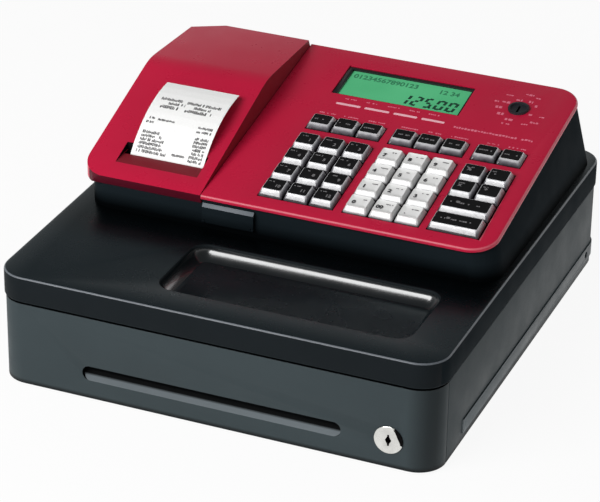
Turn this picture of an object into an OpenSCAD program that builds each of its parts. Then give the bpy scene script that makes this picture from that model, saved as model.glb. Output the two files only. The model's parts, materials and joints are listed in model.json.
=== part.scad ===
// Compact ticket register: a keyboard and receipt printer on a small cash drawer.
// Millimetres. X to the right, Y to the back, Z up, origin on the counter under the middle.

/* [Cabinet] */
// Width of the cabinet across its lid
cabinet_w = 330; // [326:1:360]
// Depth of the cabinet across its lid
cabinet_d = 360; // [352:1:390]
// Height of the lid's top face above the counter
lid_top = 86; // [84:1:96]
// Height of the lid's side
lid_h = 19; // [18:0.5:20]
// Corner radius of the lid in plan
corner_r = 21; // [17:1:26]
// Step from the lid's side in to the cabinet's side
side_step = 1; // [0.6:0.1:1.5]
// Wall of the large mouldings
wall = 2.5; // [2:0.1:2.8]
// Width of the locating lip inside the cabinet's rim
lip_t = 2.3; // [1.8:0.1:2.6]
// Height that the locating lip stands above the lid's lower edge
lip_h = 3; // [2:0.5:4]
// Height of the rubber feet
foot_h = 1.6; // [1.5:0.1:3]
// Radius of the rubber feet
foot_r = 9; // [7:0.5:11]
// Distance of the feet's middles from the lid's sides
foot_inset = 22; // [20:1:32]
// Distance of the feet's middles from the lid's front and back
foot_back = 32; // [32:1:40]
// Distance from the lid's front to the seam behind the drawer front
seam_back = 22; // [20:1:26]
// Lower and upper height of the raised band round the cabinet's base
band_z = [7.6, 18.2];
// Distance from the lid's front to the start of the raised band
band_start = 53; // [45:1:65]
// Radius of the anchor screw holes in the sides
anchor_r = 2.75; // [2:0.25:3.5]
// Distance of the anchor screw holes from the lid's back
anchor_back = 31; // [28:1:45]

/* [Coin dish in the lid] */
// Left and right end of the dish
dish_x = [-54, 131.5];
// Front and back edge of the dish
dish_y = [-153, -81.5];
// Depth of the dish
dish_depth = 10; // [6:0.5:11]
// Corner radius of the dish
dish_r = 12; // [6:1:20]

/* [Drawer] */
// Travel of the drawer
drawer_travel = 240; // [150:5:245]
// Gap behind the drawer front
front_gap = 0.9; // [0.5:0.1:1.2]
// Gap between the lid's lower edge and the drawer front and cabinet under it
lid_gap = 2.2; // [1:0.1:2.6]
// Height of the drawer front's lower edge above the counter
front_z0 = 1.6; // [1.4:0.1:3]
// Wall of the drawer box
drawer_wall = 2; // [1.5:0.1:2.4]
// Gap between the drawer box and the cabinet's locating lip
drawer_side_gap = 2.2; // [1.5:0.1:3.5]
// Height of the drawer box's rim above the counter
drawer_top = 61; // [56:1:63]
// Depth of the space behind the drawer, for its release
release_space = 28; // [26:1:36]
// Left and right end of the finger groove
groove_x = [-98, 95.5];
// Lower and upper height of the finger groove
groove_z = [15.8, 27];
// Depth of the finger groove
groove_depth = 5.6; // [4.6:0.1:6]
// Distance of the lock's axis from the lid's right side
lock_inset = 35; // [31:1:43]
// Height of the lock's axis above the counter
lock_z = 23; // [22:0.5:27]
// Radius of the lock's barrel
lock_r = 8.5; // [7:0.5:9.5]
// Radius of the lock's chrome face
lock_face_r = 10.4; // [10:0.1:11]
// Length of the lock's cam
lock_cam = 13; // [10:0.5:14]

/* [Cash tray] */
// Number of coin cups side by side
coin_columns = 4; // [3:1:5]
// Number of coin cups from front to back
coin_rows = 2; // [1:1:3]
// Depth of the coin cups from front to back
coin_d = 72; // [60:1:76]
// Number of note bays side by side
note_bays = 3; // [3:1:3]
// Wall between the bays
tray_wall = 2; // [1.5:0.1:3]
// Floor of the tray
tray_floor = 2; // [1.5:0.1:3]
// Radius of the scoop along the coin cups' front and back
scoop_r = 18; // [10:1:24]
// Length of a note clip from its axis to its tip
clip_l = 92; // [80:1:100]
// Width of a note clip's arm
clip_w = 14; // [10:1:20]
// Thickness of a note clip
clip_t = 3; // [2:0.5:4]

/* [Register case] */
// Width of the register over its keyboard panel
case_w = 313; // [311:1:316]
// Widening of the case's right side down to the lid
case_flare = 4.5; // [2:0.5:6]
// Distance from the lid's front edge to the panel's front edge
case_setback = 118.8; // [114:0.2:124]
// Height of the panel's front edge above the lid
panel_rise = 26.4; // [24.5:0.2:32]
// Slope of the keyboard panel
panel_slope = 10; // [8:0.5:11]
// Length of the keyboard panel along its slope
panel_len = 210; // [208:1:214]
// Thickness of the keyboard panel
panel_t = 3; // [2.5:0.1:3.4]
// Corner radius of the keyboard panel
panel_r = 20; // [12:1:24]
// Distance of the joint between printer cover and panel from the middle
joint_left = 61.7; // [60:0.1:63]
// Step from the panel's edge in to the case's wall
rim_step = 1; // [0.5:0.1:1.5]
// Step from the printer cover's edge in to the case's left wall
left_step = 3.5; // [3:0.1:5]
// Step from the panel's front edge in to the case's front wall
front_step = 2.7; // [2:0.1:4]
// Distance that the case's foot reaches behind the panel's back edge
case_tail = 24; // [20:1:27]
// Gap between separate mouldings
seam = 0.4; // [0.3:0.05:0.6]

/* [Keys] */
// Pitch of the key columns
key_pitch = 19.35; // [19:0.05:19.7]
// Pitch of the key rows
row_pitch = 20.1; // [19.6:0.1:20.3]
// Distance from the panel's front edge to the first key row's middle
row_start = 22.6; // [22:0.1:24]
// Distance from the panel's front edge to the top key row's middle
top_row = 110.6; // [109.5:0.1:113]
// Distance from the middle to the left edge of the left block, to the left
left_block = 23.2; // [22.5:0.1:26]
// Gap between the left block and the number block
left_gap = 6.35; // [5:0.05:7]
// Gap between the number block and the right block
right_gap = 5.2; // [4:0.1:6]
// Gap between neighbouring keys
key_gap = 0.9; // [0.8:0.05:1.2]
// Height of the keys above the panel
key_h = 4.6; // [4:0.1:6]
// Height of the top row's keys above the panel
top_key_h = 3.6; // [3.2:0.1:5]
// Travel of a key
key_travel = 3; // [2:0.1:3.2]
// Length of a key's skirt below the panel's face
key_skirt = 3.6; // [3:0.1:4]
// Narrowing of each side of a key towards its top
key_taper = 2.1; // [1:0.1:2.5]
// Narrowing of the front of a key towards its top
key_front = 3.4; // [2:0.1:4.5]
// Corner radius of a key
key_r = 1.6; // [0.8:0.1:2.5]
// Depth of the key wells below the panel's face
well_depth = 7.4; // [7.4:0.1:8]
// Floor and wall of the key wells
well_t = 1.8; // [1.5:0.1:2.2]
// Width of a key's square stem
stem_w = 5; // [4:0.5:6]

/* [Display and mode switch] */
// Left and right edge of the display opening
lcd_x = [-22.3, 78.3];
// Front and back edge of the display opening, along the panel
lcd_v = [151.4, 190.3];
// Width of the display's frame on its left
lcd_frame_left = 4.2; // [3:0.1:6]
// Width of the display's frame on its other sides
lcd_frame = 1.6; // [1:0.1:3]
// Depth of the display's glass below the panel's face
lcd_depth = 2.6; // [2:0.1:4]
// Thickness of the display module
lcd_t = 9; // [7:0.5:10]
// Distance of the mode switch to the right of the middle
dial_x = 117.5; // [113:0.5:121]
// Distance of the mode switch from the panel's front edge
dial_v = 173; // [170:0.5:176]
// Radius of the mode switch's dial
dial_r = 7.8; // [6:0.2:9]
// Height of the dial above the panel
dial_h = 1.6; // [1:0.1:4]

/* [Printer] */
// Height of the printer cover's top above the lid
cover_top = 67.5; // [66.5:0.5:72]
// Slope of the printer cover's front
cover_slope = 18.8; // [17.5:0.1:20]
// Height of the lip at the printer cover's front
cover_lip = 7.6; // [6:0.1:9]
// Distance from the panel's back edge in to the top of the printer cover's back
cover_back_in = 6; // [4:0.5:10]
// Distance of the printer cover's left side from the middle
cover_reach = 158; // [157.5:0.1:159]
// Narrowing of the printer cover's left side from its bend to its back
cover_taper = 3.5; // [2:0.1:5]
// Corner radius of the printer cover at its front left
cover_r = 19; // [12:1:22]
// Size of the bevel across the printer cover's back left corner, sideways and along
cover_bevel = [27, 13];
// Radius of the bend between the printer cover's front and its top
cover_bend = 60; // [30:5:80]
// Wall of the printer cover
cover_wall = 2.4; // [2:0.1:2.6]
// Width of the receipt paper
paper_w = 58; // [56:0.5:58]
// Thickness of the receipt strip
paper_t = 0.3; // [0.3:0.05:0.5]
// Distance of the paper's middle to the left of the register's middle
paper_left = 101.6; // [100.5:0.1:102]
// Radius of the paper roll
roll_r = 24; // [18:1:25]
// Radius of the paper roll's core
core_r = 6.2; // [5:0.2:9]
// Distance of the paper roll's axis behind the panel's front edge
roll_back = 122; // [118:1:126]
// Radius of the printer's platen roller
platen_r = 7; // [6:0.5:7.5]
// Radius of the platen roller's shaft
shaft_r = 2.5; // [2:0.25:3]

/* [Memory card slot] */
// Left and right end of the card slot's flap
flap_x = [-60.2, -20.4];
// Height of the flap
flap_h = 15.5; // [14:0.5:16.5]
// Thickness of the flap
flap_t = 2.6; // [2:0.1:3]
// Width of the card slot behind the flap
card_w = 25; // [22:0.5:28]
// Height of the card slot behind the flap
card_t = 3; // [2.4:0.1:4]
// Distance of the flap's lower end above the lid
flap_z = 5; // [4.5:0.5:6]

/* [Hidden] */
$fn = 48;
HULL_FN = 32;

// Radial play of a shaft in its bore, and gap between parts that move past each other
RUNNING = 0.05;
CLEAR = 0.4;

LEFT_KEYS = [for (i = [1:12]) str("key_department_", i)];
NUMBER_NAMES = ["7", "8", "9", "4", "5", "6", "1", "2", "3", "0", "00", "point"];
NUMBER_KEYS = [for (name = NUMBER_NAMES) str("key_number_", name)];
RIGHT_KEYS = ["key_percent", "key_check", "key_credit", "key_receive", "key_subtotal", "key_total"];
TOP_KEYS = [for (i = [1:8]) str("key_function_", i)];
BAY_NAMES = ["left", "middle", "right"];
CLIP_NODES = [for (i = [0:note_bays - 1]) str("note_clip_", BAY_NAMES[i])];
FIXED_NODES = ["cabinet", "lid", "feet", "cover_screws", "register_case", "keyboard_panel",
               "display_module", "circuit_board", "printer_unit", "drawer_release"];
MOVING_NODES = ["drawer", "cash_tray", "lock_plug", "mode_dial", "printer_cover", "receipt_paper",
                "paper_roll", "platen_roller", "card_slot_flap"];

// Cabinet
lid_bottom = lid_top - lid_h;
lip_top = lid_bottom + lip_h;
cabinet_top = lid_bottom - lid_gap;
cabinet_floor = foot_h + wall;
front_y = -cabinet_d / 2 + side_step;
seam_y = -cabinet_d / 2 + seam_back;
lip_in = wall + 0.3;
rear_in = cabinet_d / 2 - side_step - wall;
screw_x = [-cabinet_w / 2 + 22, -48, 48, cabinet_w / 2 - 22];
screw_y = cabinet_d / 2 - 12;
screw_r = 1.5;
screw_head_r = 3.2;
screw_head_h = 2;
post_r = 4;
post_foot = cabinet_floor + 6;
cord_r = 4.5;
cord_x = 105;
cord_z = 44;
cord_collar = 3;

// Drawer
drawer_hw = cabinet_w / 2 - lip_in - lip_t - drawer_side_gap;
drawer_back = cabinet_d / 2 - release_space;
drawer_bottom = cabinet_floor + 1.6;
drawer_floor = drawer_bottom + drawer_wall;
front_top = cabinet_top;
front_back = seam_y - front_gap;
front_wall = 3;
groove_backing = 2;
rail_x = 0.8 * drawer_hw;
rail_w = 8;
lock_x = cabinet_w / 2 - lock_inset;
lock_gap = 0.3;
lug_w = 16;
lug_l = 7;
lug_z = 34;
lug_h = 10;
release_w = 40;

// Cash tray
tray_hw = drawer_hw - drawer_wall - CLEAR;
tray_y0 = front_back + drawer_wall + CLEAR;
tray_y1 = drawer_back - drawer_wall - CLEAR;
tray_top = drawer_top - 3;
coin_top = tray_top - 14;
coin_y1 = tray_y0 + tray_wall + coin_rows * (coin_d + tray_wall);
coin_w = (2 * tray_hw - (coin_columns + 1) * tray_wall) / coin_columns;
note_w = (2 * tray_hw - (note_bays + 1) * tray_wall) / note_bays;
clip_axis_y = tray_y1 - tray_wall - 8;
clip_axis_z = tray_top - 9;
clip_barrel_r = 3.4;
clip_pin_r = 1.5;
clip_drop = asin((clip_axis_z - drawer_floor - tray_floor - 6) / clip_l);
clip_ear_w = 3;

// Register case and keyboard panel
panel_y = -cabinet_d / 2 + case_setback;
panel_z = lid_top + panel_rise;
panel_back_y = panel_y + panel_len * cos(panel_slope);
panel_back_z = panel_z + panel_len * sin(panel_slope);
joint_x = -joint_left;
case_floor = lid_top + wall;
case_back_y = panel_back_y + case_tail;
lcd_flange = 3;
lcd_mid = (lcd_x[0] + lcd_x[1]) / 2;
board_depth = well_depth + well_t + key_travel + 4;
board_t = 1.6;
board_x = [joint_x + 12, case_w / 2 - 14];
board_v = [14, panel_len - 14];
switch_w = 18;
switch_h = 4;
plug_w = 60;
plug_d = 8;
plug_h = 3;
power_w = 48;
power_h = 26;
chip_w = 40;
chip_h = 6;
chip_v = [95, 125];
post_inset = 12;
window_w = 92;
window_h = 24;
window_x = 48;
window_depth = 1.4;

// Printer
lip_z = panel_z - cover_lip;
lip_draft = front_step;
cover_left = -cover_reach;
cover_right = joint_x - seam / 2;
top_z = lid_top + cover_top;
bend_in = cover_bend * tan(cover_slope / 2);
crest_y = panel_y + (top_z - panel_z) / tan(cover_slope);
paper_x0 = -paper_left - paper_w / 2;
paper_x1 = -paper_left + paper_w / 2;
slot_x = [paper_x0 - 5.2, paper_x1 + 1.5];
slot_front = 15.5;
slot_rear = 35.9;
ramp_len = 13.4;
ramp_drop = 3.6;
roll_y = panel_y + roll_back;
roll_z = case_floor + 4 + roll_r;
platen_y = panel_y + 37;
platen_z = case_floor + 16;
plate_t = 3;
printer_front = 22;
printer_back = 16;
bay_x0 = paper_x0 - 4;
bay_x1 = paper_x1 + 4;
bevel_r = 4;
foot_lean = 0.6;
hinge_r = 3;
hinge_pin_r = 1.4;
hinge_y = panel_back_y + hinge_r - 1.4;
hinge_z = panel_back_z - cover_lip - 0.6;
hinge_span = [cover_left + cover_bevel[0] + 13, cover_right - 16];
hinge_l = 10;
flap_ear = 1.8;
flap_slant = [0.7 * flap_t, 2.6];
flap_y = panel_y + front_step - seam - flap_t / 2;
flap_axis_z = lid_top + flap_z + flap_t / 2;

// Rounded rectangle with true arcs at its corners, centred on the origin
module rounded(w, d, r) {
    square([w - 2 * r, d], center = true);
    square([w, d - 2 * r], center = true);
    for (x = [-1, 1], y = [-1, 1])
        translate([x * (w / 2 - r), y * (d / 2 - r)]) circle(r);
}

// Slab of the cabinet's outline, moved in by an inset
module cabinet_slab(inset, z0, z1) {
    translate([0, 0, z0])
        linear_extrude(z1 - z0)
            rounded(cabinet_w - 2 * inset, cabinet_d - 2 * inset, corner_r - inset);
}

// Box between two corners
module block(a, b) {
    translate(a) cube(b - a);
}

// Cylinder along X from x0 to x1
module bar_x(x0, x1, y, z, r) {
    translate([x0, y, z]) rotate([0, 90, 0]) cylinder(h = x1 - x0, r = r);
}

// Cylinder along Y from y0 to y1
module bar_y(x, y0, y1, z, r) {
    translate([x, y1, z]) rotate([90, 0, 0]) cylinder(h = y1 - y0, r = r);
}

// Outline in Y and Z, drawn out along X
module profile_x(x0, x1, points) {
    translate([x0, 0, 0])
        rotate([90, 0, 90])
            linear_extrude(x1 - x0) polygon(points);
}

// Places a child on the keyboard panel: x across, v along the slope, h above its face
module on_panel(x = 0, v = 0, h = 0) {
    translate([0, panel_y, panel_z])
        rotate([panel_slope, 0, 0])
            translate([x, v, h])
                children();
}

// Cabinet that the drawer slides in
module cabinet() {
    color([0.27, 0.30, 0.32])
    difference() {
        union() {
            difference() {
                cabinet_slab(side_step, foot_h, cabinet_top);
                cabinet_slab(side_step + wall, cabinet_floor, cabinet_top + 1);
            }
            difference() {
                cabinet_slab(lip_in, cabinet_top - 5, lip_top);
                cabinet_slab(lip_in + lip_t, cabinet_top - 6, lip_top + 1);
            }
            base_band();
            for (s = [-1, 1])
                block([s * rail_x - rail_w / 2, seam_y, cabinet_floor - 1],
                      [s * rail_x + rail_w / 2, rear_in - 1, drawer_bottom - 0.3]);
            for (x = screw_x)
                translate([x, screw_y, foot_h]) cylinder(h = post_foot - foot_h, r = post_r + 1.5);
            bar_y(cord_x, rear_in - cord_collar, rear_in + wall / 2, cord_z, cord_r + wall);
        }
        block([-cabinet_w, -cabinet_d, -1], [cabinet_w, seam_y, lid_top]);
        for (x = screw_x)
            translate([x, screw_y, foot_h - 1]) {
                cylinder(h = post_foot, r = screw_r + 0.2);
                cylinder(h = 1 + screw_head_h + 0.5, r = screw_head_r + 0.3);
            }
        bar_y(cord_x, rear_in - cord_collar - 1, cabinet_d / 2 + 1, cord_z, cord_r);
        bar_x(-cabinet_w, cabinet_w, cabinet_d / 2 - anchor_back, (band_z[0] + band_z[1]) / 2, anchor_r);
    }
}

// Raised band round the sides and back of the cabinet's base
module base_band() {
    difference() {
        cabinet_slab(0, band_z[0], band_z[1]);
        cabinet_slab(side_step + wall / 2, band_z[0] - 1, band_z[1] + 1);
        block([-cabinet_w, -cabinet_d, 0], [cabinet_w, -cabinet_d / 2 + band_start, lid_top]);
    }
}

// Lid with the coin dish; it carries the register
module lid() {
    tub = wall * 0.8;
    color([0.14, 0.15, 0.16])
    difference() {
        union() {
            difference() {
                cabinet_slab(0, lid_bottom, lid_top);
                cabinet_slab(wall, lid_bottom - 1, lip_top);
                cabinet_slab(lip_in + lip_t + CLEAR, lip_top - 1, lid_top - wall);
            }
            dish(dish_depth + tub, tub);
            for (x = screw_x)
                translate([x, screw_y, post_foot]) cylinder(h = lid_top - wall - post_foot, r = post_r);
        }
        translate([0, 0, 1]) dish(dish_depth + 1, 0);
        for (x = screw_x)
            translate([x, screw_y, post_foot - 1]) cylinder(h = 12, r = screw_r + RUNNING);
    }
}

// Body of the coin dish, from the lid's top down, grown outwards
module dish(depth, grow) {
    w = dish_x[1] - dish_x[0] + 2 * grow;
    d = dish_y[1] - dish_y[0] + 2 * grow;
    translate([(dish_x[0] + dish_x[1]) / 2, (dish_y[0] + dish_y[1]) / 2, lid_top - depth])
        linear_extrude(depth)
            rounded(w, d, dish_r + grow);
}

// Four rubber feet under the cabinet
module feet() {
    color([0.07, 0.07, 0.07])
    for (x = [-1, 1], y = [-1, 1])
        translate([x * (cabinet_w / 2 - foot_inset), y * (cabinet_d / 2 - foot_back), 0])
            cylinder(h = foot_h, r = foot_r);
}

// Screws that hold the lid down through the cabinet's floor
module cover_screws() {
    color([0.55, 0.56, 0.58])
    for (x = screw_x)
        translate([x, screw_y, foot_h + 0.5]) {
            difference() {
                cylinder(h = screw_head_h, r = screw_head_r);
                for (a = [0, 90])
                    rotate([0, 0, a]) translate([0, 0, -0.01]) cube([3.4, 0.8, 2], center = true);
            }
            cylinder(h = post_foot - foot_h + 8, r = screw_r);
        }
}

// Drawer with its front
module drawer() {
    color([0.26, 0.29, 0.31])
    difference() {
        union() {
            drawer_front();
            drawer_box();
            block([-lug_w / 2, drawer_back - 1, lug_z], [lug_w / 2, drawer_back + lug_l, lug_z + lug_h]);
        }
        block([-lug_w, drawer_back + 2, lug_z - 1], [lug_w, drawer_back + lug_l - 2, lug_z + lug_h / 2]);
        finger_groove(0);
        bar_y(lock_x, -cabinet_d, front_y + 15, lock_z, lock_r + RUNNING);
    }
}

// Hollow front of the drawer, open below, with the backing of the groove and the lock's boss
module drawer_front() {
    difference() {
        cabinet_slab(side_step, front_z0, front_top);
        difference() {
            cabinet_slab(side_step + front_wall, front_z0 - 1, front_top - front_wall);
            finger_groove(groove_backing);
            bar_y(lock_x, front_y, front_y + 11, lock_z, lock_r + 3.5);
            block([-cabinet_w, front_back - drawer_wall, 0], [cabinet_w, cabinet_d, lid_top]);
        }
        block([-cabinet_w, front_back, 0], [cabinet_w, cabinet_d, lid_top]);
    }
}

// Box of the drawer behind its front
module drawer_box() {
    difference() {
        block([-drawer_hw, front_back - 0.5, drawer_bottom], [drawer_hw, drawer_back, drawer_top]);
        block([-drawer_hw + drawer_wall, front_back, drawer_floor],
              [drawer_hw - drawer_wall, drawer_back - drawer_wall, lid_top]);
    }
}

// Finger groove: a flat ceiling over a slope that runs down to the front, with round ends
module finger_groove(grow) {
    z0 = groove_z[0] - grow;
    z1 = groove_z[1] + grow;
    depth = groove_depth + grow;
    slope_top = z0 + (z1 - z0) * 0.5;
    intersection() {
        profile_x(groove_x[0] - grow, groove_x[1] + grow,
                  [[front_y - 1, z0], [front_y, z0], [front_y + depth, slope_top],
                   [front_y + depth, z1], [front_y - 1, z1]]);
        translate([(groove_x[0] + groove_x[1]) / 2, front_y + depth, (z0 + z1) / 2])
            rotate([90, 0, 0])
                linear_extrude(depth + 1)
                    rounded(groove_x[1] - groove_x[0] + 2 * grow, z1 - z0, (z1 - z0) / 2 - 0.01);
    }
}

// Lock plug with its chrome face, key slot and cam
module lock_plug() {
    color([0.78, 0.78, 0.80])
    difference() {
        union() {
            bar_y(lock_x, -cabinet_d / 2, front_y - lock_gap, lock_z, lock_face_r);
            bar_y(lock_x, front_y - lock_gap - 0.1, front_y + 15, lock_z, lock_r);
            block([lock_x - lock_cam, front_y + 12.5, lock_z - 4], [lock_x, front_y + 15, lock_z + 4]);
        }
        block([lock_x - 0.7, -cabinet_d / 2 - 1, lock_z - 4.5], [lock_x + 0.7, front_y + 5, lock_z + 4.5]);
        bar_y(lock_x, -cabinet_d / 2 - 1, front_y + 4, lock_z, 2);
    }
}

// Cash tray with coin cups in front and note bays behind
module cash_tray() {
    z0 = drawer_floor;
    color([0.10, 0.10, 0.11])
    difference() {
        union() {
            block([-tray_hw, tray_y0, z0], [tray_hw, coin_y1, coin_top]);
            block([-tray_hw, coin_y1 - tray_wall, z0], [tray_hw, tray_y1, tray_top]);
        }
        for (i = [0:coin_columns - 1], j = [0:coin_rows - 1])
            coin_cup(-tray_hw + tray_wall + i * (coin_w + tray_wall),
                     tray_y0 + tray_wall + j * (coin_d + tray_wall));
        for (i = [0:note_bays - 1])
            block([note_x(i) - note_w / 2, coin_y1, z0 + tray_floor],
                  [note_x(i) + note_w / 2, tray_y1 - tray_wall, lid_top]);
    }
    color([0.10, 0.10, 0.11])
    for (i = [0:note_bays - 1])
        clip_ears(note_x(i));
}

// Middle of a note bay
function note_x(i) = -tray_hw + tray_wall + note_w / 2 + i * (note_w + tray_wall);

// Hollow of a coin cup, with scooped front and back
module coin_cup(x, y) {
    z0 = drawer_floor + tray_floor;
    r = min(scoop_r, coin_d / 2 - 1);
    translate([x, 0, 0]) {
        block([0, y + r, z0], [coin_w, y + coin_d - r, lid_top]);
        block([0, y, z0 + r], [coin_w, y + coin_d, lid_top]);
        bar_x(0, coin_w, y + r, z0 + r, r);
        bar_x(0, coin_w, y + coin_d - r, z0 + r, r);
    }
}

// Pair of ears with the pins that a note clip turns on
module clip_ears(x) {
    for (s = [-1, 1]) {
        inner = x + s * (clip_w / 2 + CLEAR);
        outer = inner + s * clip_ear_w;
        block([min(inner, outer), clip_axis_y - clip_barrel_r, clip_axis_z - clip_barrel_r],
              [max(inner, outer), tray_y1 - tray_wall + 0.5, clip_axis_z + clip_barrel_r]);
        bar_x(min(inner - s * 4, inner), max(inner - s * 4, inner), clip_axis_y, clip_axis_z, clip_pin_r);
    }
}

// Note clip: a barrel at the back, an arm and a pad that rests on the notes
module note_clip(i) {
    x = note_x(i);
    arm_w = clip_w - 1;
    color([0.12, 0.12, 0.13])
    difference() {
        union() {
            bar_x(x - clip_w / 2, x + clip_w / 2, clip_axis_y, clip_axis_z, clip_barrel_r);
            translate([x, clip_axis_y, clip_axis_z])
                rotate([clip_drop, 0, 0]) {
                    translate([-arm_w / 2, -clip_l, -clip_t / 2]) cube([arm_w, clip_l, clip_t]);
                    translate([0, -clip_l, -clip_t / 2 - 0.6])
                        linear_extrude(clip_t) rounded(3 * clip_w, 16, 5);
                }
        }
        for (s = [-1, 1])
            bar_x(x + s * (clip_w / 2 - 1.75) - 2.25, x + s * (clip_w / 2 - 1.75) + 2.25,
                  clip_axis_y, clip_axis_z, clip_pin_r + RUNNING);
    }
}

// Solenoid release behind the drawer, drawn released: its latch plate is down, clear of the drawer's lug
module drawer_release() {
    y0 = drawer_back + lug_l + 3;
    latch_y = drawer_back + 2.8;
    latch_t = 1.6;
    color([0.62, 0.62, 0.60]) {
        block([-release_w / 2, y0, cabinet_floor], [release_w / 2, rear_in - 1, lug_z - 8]);
        bar_y(0, latch_y + latch_t / 2, y0, lug_z - 14, 3);
        block([-lug_w / 2 + 1, latch_y, lug_z - 18], [lug_w / 2 - 1, latch_y + latch_t, lug_z - 0.6]);
    }
}

// Flat rounded plate that the case's hull is stretched over, with an optional bevel at its back left
module case_plate(x0, x1, y0, y1, r, bevel = [0, 0]) {
    for (at = [[x0 + r, y0 + r], [x1 - r, y0 + r], [x1 - r, y1 - r]])
        translate(at) cylinder(h = 0.01, r = r, $fn = HULL_FN);
    if (bevel[0] > 0)
        for (at = [[0, bevel[1] + bevel_r], [bevel[0], bevel_r]])
            translate([x0 + at[0] + bevel_r, y1 - at[1]]) cylinder(h = 0.01, r = bevel_r, $fn = HULL_FN);
    else
        translate([x0 + r, y1 - r]) cylinder(h = 0.01, r = r, $fn = HULL_FN);
}

// Solid form of the register case; inset moves its walls in, lift raises its floor and rim.
// It reaches a little above the panel's underside, where the case cuts it off
module case_form(inset, lift) {
    x0 = cover_left + left_step + inset;
    x1 = case_w / 2 - rim_step - inset;
    y0 = panel_y + front_step + inset;
    v0 = front_step / cos(panel_slope) + inset;
    r = panel_r - rim_step - inset;
    hull() {
        translate([0, 0, lid_top + lift])
            case_plate(x0, x1 + case_flare, y0 + foot_lean, case_back_y - inset, r);
        on_panel(h = -panel_t + lift + 0.5)
            case_plate(x0, x1, v0, panel_len - rim_step - inset, r, cover_bevel);
    }
}

// Black case of the register, open on top under the panel and the printer cover
module register_case() {
    color([0.09, 0.10, 0.10])
    difference() {
        union() {
            difference() {
                case_form(0, 0);
                case_form(wall, wall);
                for (x = hinge_span)
                    bar_x(x - hinge_l / 2 - 2 * CLEAR, x + hinge_l / 2 + 2 * CLEAR, hinge_y, hinge_z, hinge_r + CLEAR);
            }
            intersection() {
                case_form(wall / 2, 0);
                union() {
                    block([joint_x + seam - 0.3, -cabinet_d, lid_top], [joint_x + seam + wall, cabinet_d, 2 * top_z]);
                    board_posts();
                }
            }
            roll_cradle();
            case_knuckles();
            flap_ears();
        }
        // lower rim under the printer cover
        on_panel(x = -cabinet_w, v = -cabinet_d, h = -cover_lip)
            cube([cabinet_w + joint_x + seam, 2 * cabinet_d, 2 * top_z]);
        rear_window();
        on_panel(h = -panel_t) block([-cabinet_w, -panel_r, 0], [cabinet_w, cabinet_d, top_z]);
        translate([(flap_x[0] + flap_x[1] - card_w) / 2, panel_y + front_step - 1, flap_axis_z + flap_t])
            cube([card_w, 2 * wall + 1, card_t]);
    }
}

// Posts that the circuit board rests on, square to the panel
module board_posts() {
    for (x = [board_x[0] + post_inset, board_x[1] - post_inset],
         v = [board_v[0] + post_inset, board_v[1] - post_inset])
        on_panel(x, v, -board_depth - board_t - 60) cylinder(h = 60, r = 4);
}

// Shallow recess of the customer's window in the back wall
module rear_window() {
    top_y = panel_y + (panel_len - rim_step) * cos(panel_slope) + panel_t * sin(panel_slope);
    top_z0 = panel_z + (panel_len - rim_step) * sin(panel_slope) - panel_t * cos(panel_slope);
    lean = atan2(case_back_y - top_y, top_z0 - lid_top);
    translate([window_x, (top_y + case_back_y) / 2, (top_z0 + lid_top) / 2])
        rotate([lean, 0, 0])
            translate([0, -window_depth, 0])
                rotate([-90, 0, 0])
                    linear_extrude(12) rounded(window_w, window_h, 3);
}

// Trough that the paper roll drops into
module roll_cradle() {
    difference() {
        block([bay_x0, roll_y - roll_r * 0.8, case_floor - 0.5], [bay_x1, roll_y + roll_r * 0.8, roll_z - roll_r * 0.45]);
        bar_x(bay_x0 - 1, bay_x1 + 1, roll_y, roll_z, roll_r + CLEAR);
    }
}

// Knuckles on the case's back rim, with pins for the printer cover's hinge
module case_knuckles() {
    for (x = hinge_span) {
        for (s = [-1, 1]) {
            x0 = x + s * (hinge_l / 2 + CLEAR);
            x1 = x0 + s * 5;
            bar_x(min(x0, x1), max(x0, x1), hinge_y, hinge_z, hinge_r);
            block([min(x0, x1), hinge_y - wall - 1, hinge_z - hinge_r], [max(x0, x1), hinge_y, hinge_z]);
            bar_x(min(x0 - s * 4, x0), max(x0 - s * 4, x0), hinge_y, hinge_z, hinge_pin_r);
        }
    }
}

// Ears on the case's front, in notches of the card slot's flap
module flap_ears() {
    for (s = [-1, 1]) {
        edge = s < 0 ? flap_x[0] : flap_x[1];
        x0 = edge - s * flap_ear;
        x1 = edge;
        bar_x(min(x0, x1), max(x0, x1), flap_y, flap_axis_z, flap_t / 2);
        block([min(x0, x1), flap_y, flap_axis_z - flap_t / 2],
              [max(x0, x1), panel_y + front_step + wall / 2, flap_axis_z + flap_t / 2]);
        bar_x(min(x0 - s * 3, x0), max(x0 - s * 3, x0), flap_y, flap_axis_z, 0.7);
    }
}

// Flap over the memory card slot
module card_slot_flap() {
    x0 = flap_x[0];
    x1 = flap_x[1];
    notch = flap_ear + CLEAR;
    color([0.16, 0.18, 0.20])
    difference() {
        union() {
            bar_x(x0, x1, flap_y, flap_axis_z, flap_t / 2);
            block([x0, flap_y - flap_t / 2, flap_axis_z],
                  [x1, flap_y + flap_t / 2, flap_axis_z - flap_t / 2 + flap_h]);
        }
        for (edge = [x0, x1]) {
            block([edge - notch, flap_y - flap_t, flap_axis_z - flap_t],
                  [edge + notch, flap_y + flap_t, flap_axis_z + flap_t / 2 + CLEAR]);
            bar_x(edge - notch - 3.5, edge + notch + 3.5, flap_y, flap_axis_z, 0.7 + RUNNING);
        }
        // slant along the upper front edge
        translate([x0 - 1, flap_y - flap_t / 2, flap_axis_z - flap_t / 2 + flap_h - flap_slant[1]])
            rotate([90, 0, 90])
                linear_extrude(x1 - x0 + 2)
                    polygon([-flap_slant / 2, 1.5 * flap_slant, [-flap_slant[0] / 2, 1.5 * flap_slant[1]]]);
    }
}

// Key blocks: first column, number of columns, rows
number_block = -left_block + 3 * key_pitch + left_gap;
right_block = number_block + 3 * key_pitch + right_gap;

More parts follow.
